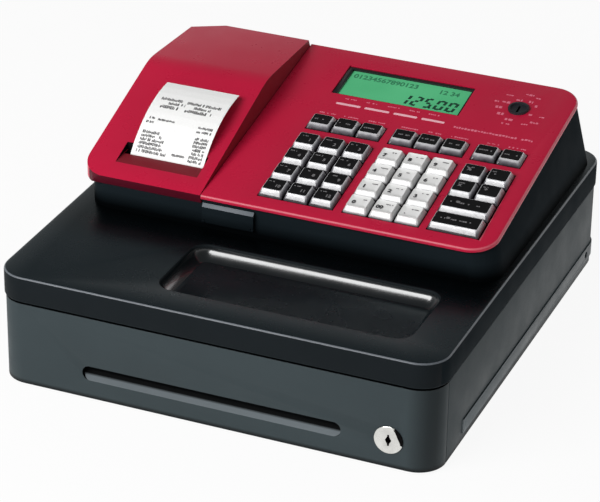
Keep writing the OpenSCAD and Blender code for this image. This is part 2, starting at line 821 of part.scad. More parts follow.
// Middle of the column and row of a block
function column_x(start, i) = start + (i + 0.5) * key_pitch;
function row_v(j) = row_start + j * row_pitch;

// Width of a key that spans some columns, and its depth
function key_w(span) = span * key_pitch - key_gap;
key_d = row_pitch - key_gap;
top_key_d = key_d - 1.6;

// Opening round a block of keys, as [x0, v0, x1, v1]
function block_well(start, columns) =
    [start, row_v(0) - row_pitch / 2, start + columns * key_pitch, row_v(3) + row_pitch / 2];
function top_well(start, columns) =
    [start, top_row - top_key_d / 2 - key_gap / 2, start + columns * key_pitch, top_row + top_key_d / 2 + key_gap / 2];
WELLS = [block_well(-left_block, 3), block_well(number_block, 3), block_well(right_block, 2),
         top_well(-left_block, 3), top_well(number_block, 3), top_well(right_block, 2)];

// Middles of all keys, as [x, v, columns spanned]
LEFT_AT = [for (j = [3:-1:0], i = [0:2]) [column_x(-left_block, i), row_v(j), 1]];
NUMBER_AT = [for (j = [3:-1:0], i = [0:2]) [column_x(number_block, i), row_v(j), 1]];
RIGHT_AT = [for (j = [3:-1:2], i = [0:1]) [column_x(right_block, i), row_v(j), 1],
            for (j = [1:-1:0]) [column_x(right_block, 0.5), row_v(j), 2]];
TOP_AT = [for (i = [0:2]) [column_x(-left_block, i), top_row, 1],
          for (i = [0:2]) [column_x(number_block, i), top_row, 1],
          for (i = [0:1]) [column_x(right_block, i), top_row, 1]];
KEYS_AT = concat(LEFT_AT, NUMBER_AT, RIGHT_AT, TOP_AT);

// Red keyboard panel with the key wells and their floors below it
module keyboard_panel() {
    well_bottom = well_depth + well_t;
    color([0.66, 0.10, 0.20])
    on_panel()
    difference() {
        union() {
            translate([0, 0, -panel_t]) linear_extrude(panel_t) panel_outline();
            for (w = WELLS)
                block([w[0] - well_t, w[1] - well_t, -well_bottom], [w[2] + well_t, w[3] + well_t, -panel_t / 2]);
            translate([dial_x, dial_v, -well_depth]) cylinder(h = well_depth - 1, r = dial_r + well_t);
        }
        for (w = WELLS)
            block([w[0], w[1], -well_depth], [w[2], w[3], 1]);
        for (k = KEYS_AT)
            translate([k[0], k[1], -well_bottom])
                cube([stem_w + 2 * CLEAR, stem_w + 2 * CLEAR, 4 * well_t], center = true);
        block([lcd_x[0], lcd_v[0], -2 * panel_t], [lcd_x[1], lcd_v[1], 1]);
        translate([dial_x, dial_v, -well_depth - 1]) cylinder(h = well_depth + 2, r = dial_r + RUNNING);
    }
}

// Outline of the panel: straight at the joint, round at its right corners
module panel_outline() {
    x0 = joint_x + seam / 2;
    x1 = case_w / 2;
    translate([x0, 0]) square([x1 - panel_r - x0, panel_len]);
    translate([x0, panel_r]) square([x1 - x0, panel_len - 2 * panel_r]);
    for (v = [panel_r, panel_len - panel_r])
        translate([x1 - panel_r, v]) circle(panel_r);
}

// Key: cap with tapered sides and a stem through the well's floor
module key_at(place, height, depth, tint) {
    w = key_w(place[2]);
    shoulder = 0.4;
    color(tint)
    on_panel(place[0], place[1])
    union() {
        intersection() {
            translate([0, 0, -key_skirt]) linear_extrude(key_skirt + height) rounded(w, depth, key_r);
            translate([0, depth / 2, 0])
                rotate([90, 0, 0])
                    linear_extrude(depth)
                        polygon([[-w / 2, -key_skirt], [w / 2, -key_skirt], [w / 2, shoulder],
                                 [w / 2 - key_taper, height], [-w / 2 + key_taper, height], [-w / 2, shoulder]]);
            profile_x(-w / 2, w / 2,
                      [[-depth / 2, -key_skirt], [depth / 2, -key_skirt], [depth / 2, shoulder],
                       [depth / 2 - key_taper * 0.8, height], [-depth / 2 + key_front, height],
                       [-depth / 2, shoulder]]);
        }
        translate([0, 0, -(key_skirt + well_depth + well_t + 0.5) / 2])
            cube([stem_w, stem_w, well_depth + well_t + 0.5 - key_skirt + 0.2], center = true);
    }
}

// Display module: black frame with a flange under the panel and a sunk glass
module display_module() {
    gap = seam / 2;
    color([0.06, 0.07, 0.07])
    on_panel()
    difference() {
        union() {
            block([lcd_x[0] + gap, lcd_v[0] + gap, -panel_t - lcd_t + 1], [lcd_x[1] - gap, lcd_v[1] - gap, -0.8]);
            block([lcd_x[0] - lcd_flange, lcd_v[0] - lcd_flange, -panel_t - 2],
                  [lcd_x[1] + lcd_flange, lcd_v[1] + lcd_flange, -panel_t]);
        }
        block([lcd_x[0] + lcd_frame_left, lcd_v[0] + lcd_frame, -lcd_depth],
              [lcd_x[1] - lcd_frame, lcd_v[1] - 2 * lcd_frame, 1]);
    }
}

// Dial of the mode switch, with a key slot across it
module mode_dial() {
    color([0.10, 0.11, 0.13])
    on_panel(dial_x, dial_v)
    difference() {
        translate([0, 0, -board_depth + 4.3]) cylinder(h = board_depth - 4.3 + dial_h, r = dial_r);
        translate([0, 0, dial_h - 1.2]) cylinder(h = 2, r = dial_r - 1.6);
        translate([0, 0, dial_h]) cube([1.6, 9, 12], center = true);
    }
}

// Circuit board under the keys, with the mode switch's body and the components
module circuit_board() {
    color([0.10, 0.35, 0.20])
    on_panel(h = -board_depth) {
        block([board_x[0], board_v[0], -board_t], [board_x[1], board_v[1], 0]);
        translate([dial_x - switch_w / 2, dial_v - switch_w / 2, 0]) cube([switch_w, switch_w, switch_h]);
        translate([lcd_mid - plug_w / 2, lcd_v[0] + plug_d / 2, 0]) cube([plug_w, plug_d, plug_h]);
    }
    color([0.25, 0.25, 0.27])
    on_panel(h = -board_depth - board_t) {
        block([lcd_mid - power_w / 2, lcd_v[0], -power_h], [lcd_mid + power_w / 2, lcd_v[1], 0]);
        block([lcd_mid - chip_w / 2, chip_v[0], -chip_h], [lcd_mid + chip_w / 2, chip_v[1], 0]);
    }
}

// Printer frame on the case's floor, with the thermal head and the tear bar
module printer_unit() {
    y0 = platen_y - printer_front;
    y1 = platen_y + printer_back;
    color([0.50, 0.51, 0.53])
    difference() {
        union() {
            block([bay_x0, y0, case_floor], [bay_x1, y1, case_floor + plate_t]);
            for (x = [bay_x0, bay_x1 - plate_t])
                block([x, y0 + 3, case_floor + plate_t - 0.5], [x + plate_t, y1 - 3, platen_z + shaft_r + 5]);
            block([bay_x0 + 1, platen_y - 1.5 * platen_r - 6, case_floor + 1],
                  [bay_x1 - 1, platen_y - platen_r - 2, platen_z + 1]);
            block([bay_x0 + 1, platen_y + platen_r + 3, case_floor + 1],
                  [bay_x1 - 1, platen_y + platen_r + 5, platen_z + 3]);
        }
        bar_x(bay_x0 - 1, bay_x1 + 1, platen_y, platen_z, shaft_r + RUNNING);
    }
}

// Rubber platen roller on its shaft
module platen_roller() {
    color([0.15, 0.15, 0.15]) {
        bar_x(bay_x0 + plate_t + CLEAR, bay_x1 - plate_t - CLEAR, platen_y, platen_z, platen_r);
        bar_x(bay_x0 - 2, bay_x1 + 2, platen_y, platen_z, shaft_r);
    }
}

// Paper roll lying in its trough
module paper_roll() {
    color([0.93, 0.93, 0.91])
    difference() {
        bar_x(paper_x0, paper_x1, roll_y, roll_z, roll_r);
        bar_x(paper_x0 - 1, paper_x1 + 1, roll_y, roll_z, core_r);
    }
}

// Height of the printer cover's slope at a distance behind the panel's front edge
function slope_z(back) = panel_z + back * tan(cover_slope);

// Receipt: it leaves the slot steeply and arches back over the cover's slope
PAPER_TURN = 46;
PAPER_STEPS = 10;
paper_lean = 6.7;
paper_rise0 = cover_slope + paper_lean + PAPER_TURN / 2;
paper_chord = 70.6;
paper_back = 29.9;
paper_sink = 3.6;
paper_root_h = 6;
paper_bend = paper_chord / (2 * sin(PAPER_TURN / 2));
paper_start = [panel_y + paper_back, slope_z(paper_back) - paper_sink];
function paper_heading(i) = paper_rise0 - PAPER_TURN * i / PAPER_STEPS;
function paper_arc(i, side) =
    paper_start + paper_bend * [sin(paper_rise0) - sin(paper_heading(i)), cos(paper_heading(i)) - cos(paper_rise0)]
    + side * paper_t / 2 * [-sin(paper_heading(i)), cos(paper_heading(i))];
paper_root = [platen_y - platen_r - 0.5, platen_z + paper_root_h];

// Receipt strip
module receipt_paper() {
    side_step_y = [paper_t / 2, 0];
    color([0.95, 0.95, 0.94])
    profile_x(paper_x0, paper_x1,
              concat([paper_root + side_step_y], [paper_root - side_step_y],
                     [for (i = [0:PAPER_STEPS]) paper_arc(i, 1)],
                     [for (i = [PAPER_STEPS:-1:0]) paper_arc(i, -1)]));
}

// Side profile of the printer cover, moved in by an inset; its lower edge is parallel to the panel
function cover_profile(inset, drop) =
    let (slope = [cos(cover_slope), sin(cover_slope)],
         front = panel_y + inset,
         top = top_z - inset,
         slope0 = panel_z - inset / cos(cover_slope),
         crest = panel_y + (top - slope0) / tan(cover_slope),
         centre = [crest + bend_in, top - cover_bend],
         back = panel_back_y - inset,
         edge0 = lip_z - drop,
         edge1 = lip_z + panel_len * sin(panel_slope) - drop)
    concat([[front + lip_draft, edge0], [front, slope0 + inset * tan(cover_slope)]],
           [for (i = [0:5]) let (a = cover_slope * (1 - i / 5)) centre + cover_bend * [-sin(a), cos(a)]],
           [[back - cover_back_in, top], [back, edge1]]);

// Plan outline of the printer cover, moved in by an inset
module cover_plan(inset) {
    x0 = cover_left + inset;
    x1 = cover_right - inset;
    y0 = panel_y + inset;
    y1 = panel_back_y - inset + 4;
    r = cover_r - inset;
    bevel_y = panel_back_y - cover_bevel[1] - cover_back_in - inset;
    bevel_x = x0 + cover_bevel[0];
    bevel_rise = cover_bevel[1] / (cover_bevel[0] - cover_taper);
    difference() {
        union() {
            translate([x0 + r, y0]) square([x1 - x0 - r, y1 - y0]);
            translate([x0, y0 + r]) square([x1 - x0, y1 - y0 - r]);
            translate([x0 + r, y0 + r]) circle(r);
        }
        polygon([[x0 - 1, crest_y], [x0, crest_y], [x0 + cover_taper, bevel_y],
                 [bevel_x, bevel_y + cover_bevel[1]], [bevel_x + 20, bevel_y + cover_bevel[1] + 20 * bevel_rise],
                 [x0 - 1, bevel_y + cover_bevel[1] + 20 * bevel_rise]]);
    }
}

// Solid form of the printer cover; its lip leans in at the front and at the left
module cover_form(inset, drop) {
    x0 = cover_left + inset;
    intersection() {
        profile_x(cover_left, cover_right, cover_profile(inset, drop));
        linear_extrude(2 * top_z) cover_plan(inset);
        on_panel(v = 2 * panel_len)
            rotate([90, 0, 0])
                linear_extrude(3 * panel_len)
                    polygon([[x0 + 2 * lip_draft, -2 * cover_lip], [x0, 0], [x0, top_z],
                             [cover_right, top_z], [cover_right, -2 * cover_lip]]);
    }
}

// Red printer cover with the paper slot, its ramp and the hinge barrels
module printer_cover() {
    color([0.66, 0.10, 0.20])
    difference() {
        union() {
            difference() {
                cover_form(0, -seam);
                cover_form(cover_wall, 2 * cover_lip);
            }
            slot_pan(cover_wall * 0.8);
            for (x = hinge_span) {
                bar_x(x - hinge_l / 2, x + hinge_l / 2, hinge_y, hinge_z, hinge_r);
                block([x - hinge_l / 2, hinge_y - cover_wall - 1, hinge_z],
                      [x + hinge_l / 2, hinge_y, hinge_z + hinge_r]);
            }
        }
        slot_pan(0);
        block([slot_x[0] + 0.6, panel_y + slot_front + ramp_len, lid_top],
              [slot_x[1] - 0.6, panel_y + slot_rear, top_z]);
        for (x = hinge_span, s = [-1, 1])
            bar_x(x + s * (hinge_l / 2 - 1.75) - 2.25, x + s * (hinge_l / 2 - 1.75) + 2.25,
                  hinge_y, hinge_z, hinge_pin_r + RUNNING);
    }
}

// Recess in the cover's slope in front of the paper slot; grow makes the tub round it
module slot_pan(grow) {
    y0 = slot_front - grow;
    y1 = slot_front + ramp_len;
    y2 = slot_rear + grow;
    low = slope_z(y1) - ramp_drop - grow;
    above = grow > 0 ? -0.5 : 3;
    intersection() {
        profile_x(slot_x[0] - grow, slot_x[1] + grow,
                  [[panel_y + y0, slope_z(y0) - grow], [panel_y + y1, low], [panel_y + y2, low],
                   [panel_y + y2, slope_z(y2) + above], [panel_y + y0, slope_z(y0) + above]]);
        linear_extrude(2 * top_z) cover_plan(0);
    }
}

cabinet();
lid();
feet();
cover_screws();
register_case();
keyboard_panel();
display_module();
circuit_board();
printer_unit();
drawer_release();
drawer();
cash_tray();
lock_plug();
mode_dial();
printer_cover();
receipt_paper();
paper_roll();
platen_roller();
card_slot_flap();
for (i = [0:note_bays - 1])
    note_clip(i);
for (i = [0:7])
    key_at(TOP_AT[i], top_key_h, top_key_d, [0.12, 0.12, 0.13]);
for (i = [0:11])
    key_at(LEFT_AT[i], key_h, key_d, [0.12, 0.12, 0.13]);
for (i = [0:11])
    key_at(NUMBER_AT[i], key_h, key_d, [0.90, 0.90, 0.89]);
for (i = [0:5])
    key_at(RIGHT_AT[i], key_h, key_d, [0.12, 0.12, 0.13]);
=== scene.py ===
"""Looks of the ticket register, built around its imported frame."""

import json
import math
import random

import bmesh
import bpy
from mathutils import Matrix, Vector


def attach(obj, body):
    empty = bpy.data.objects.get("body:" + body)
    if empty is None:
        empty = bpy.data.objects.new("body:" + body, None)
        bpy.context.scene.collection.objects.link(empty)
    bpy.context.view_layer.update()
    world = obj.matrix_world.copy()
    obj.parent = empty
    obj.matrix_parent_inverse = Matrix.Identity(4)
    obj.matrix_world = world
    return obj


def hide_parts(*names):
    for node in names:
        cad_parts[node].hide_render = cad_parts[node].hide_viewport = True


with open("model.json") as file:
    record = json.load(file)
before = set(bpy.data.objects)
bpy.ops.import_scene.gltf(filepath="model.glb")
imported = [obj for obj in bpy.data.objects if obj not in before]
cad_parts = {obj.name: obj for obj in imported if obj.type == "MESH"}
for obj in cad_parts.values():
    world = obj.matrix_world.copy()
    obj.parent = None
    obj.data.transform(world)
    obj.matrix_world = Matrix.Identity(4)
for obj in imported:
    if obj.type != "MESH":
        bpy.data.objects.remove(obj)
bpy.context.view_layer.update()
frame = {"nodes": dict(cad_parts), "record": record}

MM = 0.001
NODES = frame["nodes"]
BODY_OF = {n: b for b, names in frame["record"]["behaviour"]["bodies"].items() for n in names}
BASE = "base"

# ---------------------------------------------------------------- places, in mm

PANEL_Y, PANEL_Z, SLOPE = -61.2, 112.4, math.radians(10)
COVER_TOP, COVER_SLOPE = 153.5, math.radians(18.8)
LID_TOP, DISH_FLOOR = 86.0, 76.0
KEY_PITCH, ROW_PITCH = 19.35, 20.1
KEY_GAP = 0.9
ROW_START, TOP_ROW = 22.6, 110.6
LEFT_BLOCK = -23.2
NUMBER_BLOCK = LEFT_BLOCK + 3 * KEY_PITCH + 6.35
RIGHT_BLOCK = NUMBER_BLOCK + 3 * KEY_PITCH + 5.2
DIAL_X, DIAL_V = 117.5, 173.0
ROLL_Y, ROLL_Z = 60.8, 116.5
LOCK_X, LOCK_Z, FRONT_Y = 130.0, 23.0, -180.0

TO_PANEL = Matrix.Translation((0, PANEL_Y, PANEL_Z)) @ Matrix.Rotation(SLOPE, 4, "X")


def panel(x=0.0, v=0.0, h=0.0):
    """Frame with X across the panel, Y up its slope and Z out of its face."""
    return TO_PANEL @ Matrix.Translation((x, v, h))


# ---------------------------------------------------------------- materials

CLOUD = (0.3, 0.7)
GRAIN_SCALE, GRAIN_DEPTH = 2600.0, 0.00012
METAL_VARY = 0.08


def srgb(r, g, b):
    """Linear colour of an 8-bit sRGB one."""
    out = []
    for c in (r, g, b):
        c /= 255
        out.append(c / 12.92 if c <= 0.04045 else ((c + 0.055) / 1.055) ** 2.4)
    return (*out, 1.0)


def scaled(colour, share):
    """Colour made darker, or lighter up to white."""
    return tuple(min(1.0, c * share) for c in colour[:3]) + (1.0,)


def fill_ramp(ramp, stops):
    """Puts (place, colour) stops on a colour ramp."""
    elements = ramp.color_ramp.elements
    while len(elements) < len(stops):
        elements.new(0.5)
    for element, (place, colour) in zip(elements, stops):
        element.position = place
        element.color = colour


class Nodes:
    """Short hand for a material's node tree."""

    def __init__(self, name):
        self.mat = bpy.data.materials.new(name)
        self.mat.use_nodes = True
        self.tree = self.mat.node_tree
        self.bsdf = self.tree.nodes["Principled BSDF"]
        self.coord = self.add("ShaderNodeTexCoord").outputs["Object"]

    def add(self, kind, **values):
        node = self.tree.nodes.new(kind)
        for key, value in values.items():
            if hasattr(node, key):
                setattr(node, key, value)
            else:
                node.inputs[key.replace("_", " ")].default_value = value
        return node

    def link(self, a, b):
        self.tree.links.new(a, b)

    def shader(self, **values):
        """Sets sockets of the main shader; underscores stand for spaces."""
        for key, value in values.items():
            self.bsdf.inputs[key.replace("_", " ")].default_value = value

    def noise(self, scale, detail=2.0, roughness=0.5, stretch=None):
        node = self.add("ShaderNodeTexNoise", Scale=scale, Detail=detail, Roughness=roughness)
        source = self.coord
        if stretch:
            mapping = self.add("ShaderNodeMapping")
            mapping.inputs["Scale"].default_value = stretch
            self.link(source, mapping.inputs["Vector"])
            source = mapping.outputs["Vector"]
        self.link(source, node.inputs["Vector"])
        return node.outputs["Fac"]

    def along(self, axis):
        parts = self.add("ShaderNodeSeparateXYZ")
        self.link(self.coord, parts.inputs["Vector"])
        return parts.outputs[axis]

    def spread(self, value, low, high, to_low, to_high):
        """Maps the range from low to high onto another one."""
        node = self.add("ShaderNodeMapRange")
        names = ("From Min", "From Max", "To Min", "To Max")
        for name, number in zip(names, (low, high, to_low, to_high)):
            node.inputs[name].default_value = number
        self.link(value, node.inputs["Value"])
        return node.outputs["Result"]

    def mix(self, fac, a, b):
        node = self.add("ShaderNodeMix", data_type="RGBA")
        self.link(fac, node.inputs["Factor"])
        for socket, colour in ((node.inputs[6], a), (node.inputs[7], b)):
            if isinstance(colour, tuple):
                socket.default_value = colour
            else:
                self.link(colour, socket)
        return node.outputs[2]

    def bump(self, height, strength, distance):
        node = self.add("ShaderNodeBump")
        node.inputs["Strength"].default_value = strength
        node.inputs["Distance"].default_value = distance
        self.link(height, node.inputs["Height"])
        self.link(node.outputs["Normal"], self.bsdf.inputs["Normal"])


def plastic(name, colour, rough, grain=0.0, vary=0.12, coat=0.0, smudge=0.06, gloss=0.5, fades=()):
    """Moulded plastic: cloudy tint, spark grain as bump, smudges in its roughness.

    fades are (axis, from, to, share), in metres: the tint becomes a share of the colour at "from".
    Each fade in this script paints shade.
    """
    n = Nodes(name)
    cloud = n.spread(n.noise(14.0, 3.0), *CLOUD, 0.0, 1.0)
    tint = n.mix(cloud, scaled(colour, 1 - vary), scaled(colour, 1 + vary))
    for axis, start, stop, share in fades:
        tint = n.mix(n.spread(n.along(axis), start, stop, 0.0, 1.0), scaled(colour, share), tint)
    n.link(tint, n.bsdf.inputs["Base Color"])
    smudges = n.spread(n.noise(38.0, 4.0, 0.6), *CLOUD, rough - smudge, rough + smudge)
    n.link(smudges, n.bsdf.inputs["Roughness"])
    if grain:
        n.bump(n.noise(GRAIN_SCALE, 1.0), grain, GRAIN_DEPTH)
    n.shader(Specular_IOR_Level=gloss, Coat_Weight=coat, Coat_Roughness=0.12)
    return n.mat


def metal(name, colour, rough, brushed=False):
    """Metal with faint stains, or with streaks where it is brushed."""
    n = Nodes(name)
    n.shader(Metallic=1.0)
    streak = n.noise(900.0, 3.0, stretch=(1.0, 0.08, 0.08)) if brushed else n.noise(160.0, 4.0)
    tint = n.mix(n.spread(streak, 0.35, 0.65, 0.0, 1.0), scaled(colour, 1 - 2 * METAL_VARY), colour)
    n.link(tint, n.bsdf.inputs["Base Color"])
    gloss = n.spread(streak, *CLOUD, max(0.02, rough - 0.06), rough + 0.08)
    n.link(gloss, n.bsdf.inputs["Roughness"])
    if brushed:
        n.bump(streak, 0.15, 0.0001)
    return n.mat


def key_cap_skin(name, stops, rough, streak):
    """Key cap whose tint follows its height, from 0 at the well's rim to 1 at the top; its darker
    low part is painted shade.
    """
    n = Nodes(name)
    height = n.add("ShaderNodeAttribute", attribute_name="cap_height").outputs["Fac"]
    cloud = n.spread(n.noise(240.0, 3.0), *CLOUD, -streak, streak)
    total = n.add("ShaderNodeMath", operation="ADD")
    n.link(height, total.inputs[0])
    n.link(cloud, total.inputs[1])
    ramp = n.add("ShaderNodeValToRGB")
    fill_ramp(ramp, [(place, srgb(*colour)) for place, colour in stops])
    n.link(total.outputs[0], ramp.inputs["Fac"])
    n.link(ramp.outputs["Color"], n.bsdf.inputs["Base Color"])
    n.shader(Roughness=rough, Coat_Weight=0.5, Coat_Roughness=0.05)
    return n.mat


def screen():
    """Backlit green display layer with soft clouds."""
    n = Nodes("display_green")
    cloud = n.spread(n.noise(16.0, 2.0), *CLOUD, 0.0, 1.0)
    colour = n.mix(cloud, srgb(70, 168, 114), srgb(88, 186, 130))
    n.link(colour, n.bsdf.inputs["Base Color"])
    n.link(colour, n.bsdf.inputs["Emission Color"])
    n.shader(Emission_Strength=0.25, Roughness=0.35)
    n.bump(n.noise(5000.0, 0.0), 0.1, 0.00005)
    return n.mat


def paper():
    """Thermal paper: white, faint fibre mottling."""
    n = Nodes("thermal_paper")
    fibre = n.spread(n.noise(900.0, 4.0, 0.6), 0.35, 0.65, 0.0, 1.0)
    n.link(n.mix(fibre, srgb(247, 247, 246), srgb(254, 254, 253)), n.bsdf.inputs["Base Color"])
    n.shader(Roughness=0.62)
    n.bump(n.noise(1500.0, 3.0), 0.1, 0.00005)
    return n.mat


def rolled_paper():
    """Paper roll: fine rings of the wound layers on its ends."""
    n = Nodes("paper_roll_white")
    offset = n.add("ShaderNodeMapping")
    offset.inputs["Location"].default_value = (0.0, -ROLL_Y * MM, -ROLL_Z * MM)
    n.link(n.coord, offset.inputs["Vector"])
    rings = n.add("ShaderNodeTexWave", wave_type="RINGS", rings_direction="X")
    rings.inputs["Scale"].default_value = 700.0
    rings.inputs["Distortion"].default_value = 0.6
    n.link(offset.outputs["Vector"], rings.inputs["Vector"])
    tint = n.mix(rings.outputs["Fac"], srgb(206, 205, 200), srgb(244, 244, 242))
    n.link(tint, n.bsdf.inputs["Base Color"])
    n.shader(Roughness=0.7)
    n.bump(rings.outputs["Fac"], 0.2, 0.0001)
    return n.mat


def board_green():
    """Circuit board: green lacquer with tinned dots."""
    n = Nodes("board_green")
    pads = n.add("ShaderNodeTexVoronoi")
    pads.inputs["Scale"].default_value = 220.0
    n.link(n.coord, pads.inputs["Vector"])
    dots = n.spread(pads.outputs["Distance"], 0.12, 0.2, 1.0, 0.0)
    n.link(n.mix(dots, srgb(20, 84, 48), srgb(186, 170, 110)), n.bsdf.inputs["Base Color"])
    n.shader(Roughness=0.35)
    return n.mat


HOUSING_GREY = srgb(53, 62, 65)
# Painted shade: the housing and the drawer grow darker towards the counter, for the contact shadow
# at their foot.
FOOT_SHADE_FADE = ("Z", 0.003, 0.0052, 0.22)
# Painted shade: the drawer darkens across its right front corner, where the corner turns away from
# the light.
CORNER_SHADE_FADES = [("X", 0.156, 0.142, 0.5), ("X", 0.1645, 0.1605, 1.0)]

HOUSING = plastic("housing_plastic", HOUSING_GREY, 0.46, grain=0.35, vary=0.05, gloss=0.14,
                  fades=[FOOT_SHADE_FADE])
DRAWER = plastic("drawer_plastic", HOUSING_GREY, 0.46, grain=0.35, vary=0.05, gloss=0.14,
                 fades=[*CORNER_SHADE_FADES, FOOT_SHADE_FADE])
# Painted light: the base band and the drawer front's top edge are lighter than the housing, as if
# catching light; the band also darkens towards the back, painted shade.
HOUSING_PAINTED_LIGHT = plastic("housing_painted_light", srgb(112, 121, 125), 0.4, grain=0.35, vary=0.05, gloss=0.18,
                       fades=[("Y", 0.05, -0.14, 0.5)])
# Painted light: the base band's ledge and front end, which lie in shadow, are painted much lighter.
HOUSING_LEDGE_LIT = plastic("housing_ledge_painted_light", srgb(150, 158, 162), 0.4, grain=0.35, vary=0.05, gloss=0.3)
# Painted shade: faces near the counter that look down are painted dark.
HOUSING_UNDER_SHADE = plastic("housing_painted_under_shade", srgb(22, 26, 28), 0.6, grain=0.35, vary=0.06, gloss=0.15)
# Painted shade: the finger groove and the drawer front's top, under the lid, are painted near
# black.
GROOVE = plastic("groove_painted_shade", srgb(5, 6, 7), 0.7, grain=0.3, vary=0.1, gloss=0.03)
# Painted light and shadow: the groove's lower slope is lighter than the housing, as if lit, and
# turns black near its top, where the groove's ceiling shades it.
GROOVE_SLOPE = plastic("groove_slope", srgb(100, 107, 111), 0.5, grain=0.35, vary=0.05, gloss=0.02,
                       fades=[("Z", 0.0196, 0.0184, 0.02)])
# Painted shade: the lid's top darkens towards the case, for the case's shadow and its dark
# reflection.
LID = plastic("lid_plastic", srgb(13, 20, 24), 0.27, grain=0.12, vary=0.08, smudge=0.03,
              fades=[("Y", -0.078, -0.108, 0.1)])
LID.node_tree.nodes["Principled BSDF"].inputs["Specular Tint"].default_value = (0.6, 0.9, 1.0, 1.0)
# Painted highlight: a lighter line on the rounded edge of the lid's top.
LID_EDGE_LIGHT = plastic("lid_edge_highlight", srgb(92, 97, 103), 0.4, grain=0.12, vary=0.06, gloss=0.4)
DISH_WALL = plastic("dish_wall_gloss", srgb(12, 17, 20), 0.22, vary=0.08, coat=0.45, smudge=0.03,
                    gloss=0.9)
LID_SIDE = plastic("lid_side_plastic", srgb(22, 27, 30), 0.6, grain=0.3, vary=0.06, gloss=0.06)
LID_SHADE = plastic("lid_shade_plastic", srgb(24, 31, 35), 0.7, grain=0.3, vary=0.06, gloss=0.02)
# Painted shade: the case, and the card slot's flap that shares its plastic, darken towards the lid.
CASE = plastic("case_plastic", srgb(24, 31, 35), 0.55, grain=0.3, vary=0.08, gloss=0.008,
               fades=[("Z", 0.0885, 0.099, 0.12)])
# Painted light: the flap's slanted upper edge is lighter, as if lit.
FLAP_EDGE_LIT = plastic("flap_edge_painted_light", srgb(88, 95, 102), 0.45, grain=0.2, vary=0.06, gloss=0.3)
# Painted shade: the insides of the key wells are near black, for the shade between the keys.
WELL = plastic("key_well_painted_shade", srgb(14, 14, 15), 0.5, vary=0.08)
RED = plastic("panel_red", srgb(194, 24, 61), 0.3, grain=0.1, vary=0.03, gloss=0.4)
# Painted highlight: a lighter pink along the rounded edge of the panel.
RED_EDGE_HIGHLIGHT = plastic("panel_edge_painted_highlight", srgb(200, 86, 102), 0.4, vary=0.05, gloss=0.4)
# Painted shade: darker reds on the cover's right side, its front and the slot's ramp, and near
# black on the slot's walls.
RED_SIDE_SHADE = plastic("cover_side_painted_shade", srgb(126, 14, 31), 0.45, grain=0.1, vary=0.04, gloss=0.15)
RED_LIP_SHADE = plastic("cover_lip_painted_shade", srgb(82, 10, 29), 0.45, grain=0.1, vary=0.04, gloss=0.15)
RED_RAMP_SHADE = plastic("slot_ramp_painted_shade", srgb(124, 28, 40), 0.5, grain=0.1, vary=0.04, gloss=0.2)
RED_DEEP_SHADE = plastic("slot_wall_painted_shade", srgb(14, 4, 6), 0.6, vary=0.05, gloss=0.05)
TRAY = plastic("tray_plastic", srgb(30, 31, 33), 0.55, grain=0.4, vary=0.06)
BLACK_GLOSS = plastic("frame_black", srgb(22, 24, 25), 0.22, vary=0.08)
LEGEND_BLACK = plastic("legend_black", srgb(10, 10, 12), 0.2, vary=0.06, gloss=0.4)
KEY_TOP_WHITE = plastic("key_top_white", srgb(245, 245, 244), 0.24, vary=0.02, coat=0.3)
DIAL = plastic("dial_plastic", srgb(30, 32, 38), 0.4, vary=0.08)
INK_PINK = plastic("ink_pink", srgb(250, 190, 202), 0.5, vary=0.06)
INK_ROSE = plastic("ink_rose", srgb(234, 122, 146), 0.5, vary=0.06)
INK_DARK = plastic("ink_dark", srgb(42, 42, 46), 0.5, vary=0.05)
INK_GREY = plastic("ink_grey", srgb(122, 120, 122), 0.5, vary=0.05)
INK_PRINT = plastic("ink_print", srgb(50, 48, 50), 0.6, vary=0.12)
LCD_DARK = plastic("lcd_dark", srgb(10, 62, 44), 0.4, vary=0.05)
LCD_SOFT = plastic("lcd_soft", srgb(50, 132, 92), 0.4, vary=0.05)
RUBBER = plastic("rubber_black", srgb(24, 24, 25), 0.85, grain=0.5, vary=0.1)
# Painted shade: the keyhole and the lock's stop notch are black.
KEYHOLE_SHADE = plastic("keyhole_and_notch_shade", srgb(8, 8, 9), 0.6, vary=0.05, gloss=0.05)
DARK_GLASS = plastic("window_dark", srgb(12, 14, 16), 0.1, vary=0.05, coat=0.6, smudge=0.03)
CHROME = metal("chrome_polished", srgb(226, 226, 222), 0.24)
STEEL = metal("steel_zinc", srgb(178, 180, 182), 0.3, brushed=True)
# Painted shade: both key skins are darker towards the well's rim, for the shade between the keys.
KEY_CLEAR = key_cap_skin(
    "key_clear_painted_shade",
    [(0.0, (22, 18, 22)), (0.2, (52, 48, 53)), (0.5, (104, 102, 108)),
     (0.66, (136, 136, 140)), (0.8, (182, 182, 186)), (1.0, (198, 198, 201))],
    0.14, 0.09,
)
KEY_WHITE = key_cap_skin(
    "key_white",
    [(0.0, (40, 38, 40)), (0.1, (90, 88, 90)), (0.28, (176, 176, 178)),
     (0.5, (202, 202, 202)), (1.0, (212, 212, 211))],
    0.24, 0.03,
)
SCREEN, PAPER, ROLL, BOARD = screen(), paper(), rolled_paper(), board_green()

# ---------------------------------------------------------------- mesh tools

WELD, PRINT_WELD = 0.0005, 0.0001
FLAT_ANGLE = math.radians(0.6)
CORNER_ANGLE, BEVEL_ANGLE = math.radians(28), math.radians(30)
FORM_SMOOTH, PIECE_SMOOTH = math.radians(28), math.radians(35)
ROUND_STEPS, ROUND_PROFILE = 2, 0.5
PRINT_BOLD, PRINT_STEPS = 0.03, 3


def piece(name, bm, materials, body, place=None, replaces=()):
    """Makes an object of a bmesh in mm, places it and lets it ride on its body."""
    bm.transform(Matrix.Scale(MM, 4) @ (place or Matrix.Identity(4)))
    bmesh.ops.recalc_face_normals(bm, faces=bm.faces)
    return finished(name, bm, materials, body, replaces, PIECE_SMOOTH)


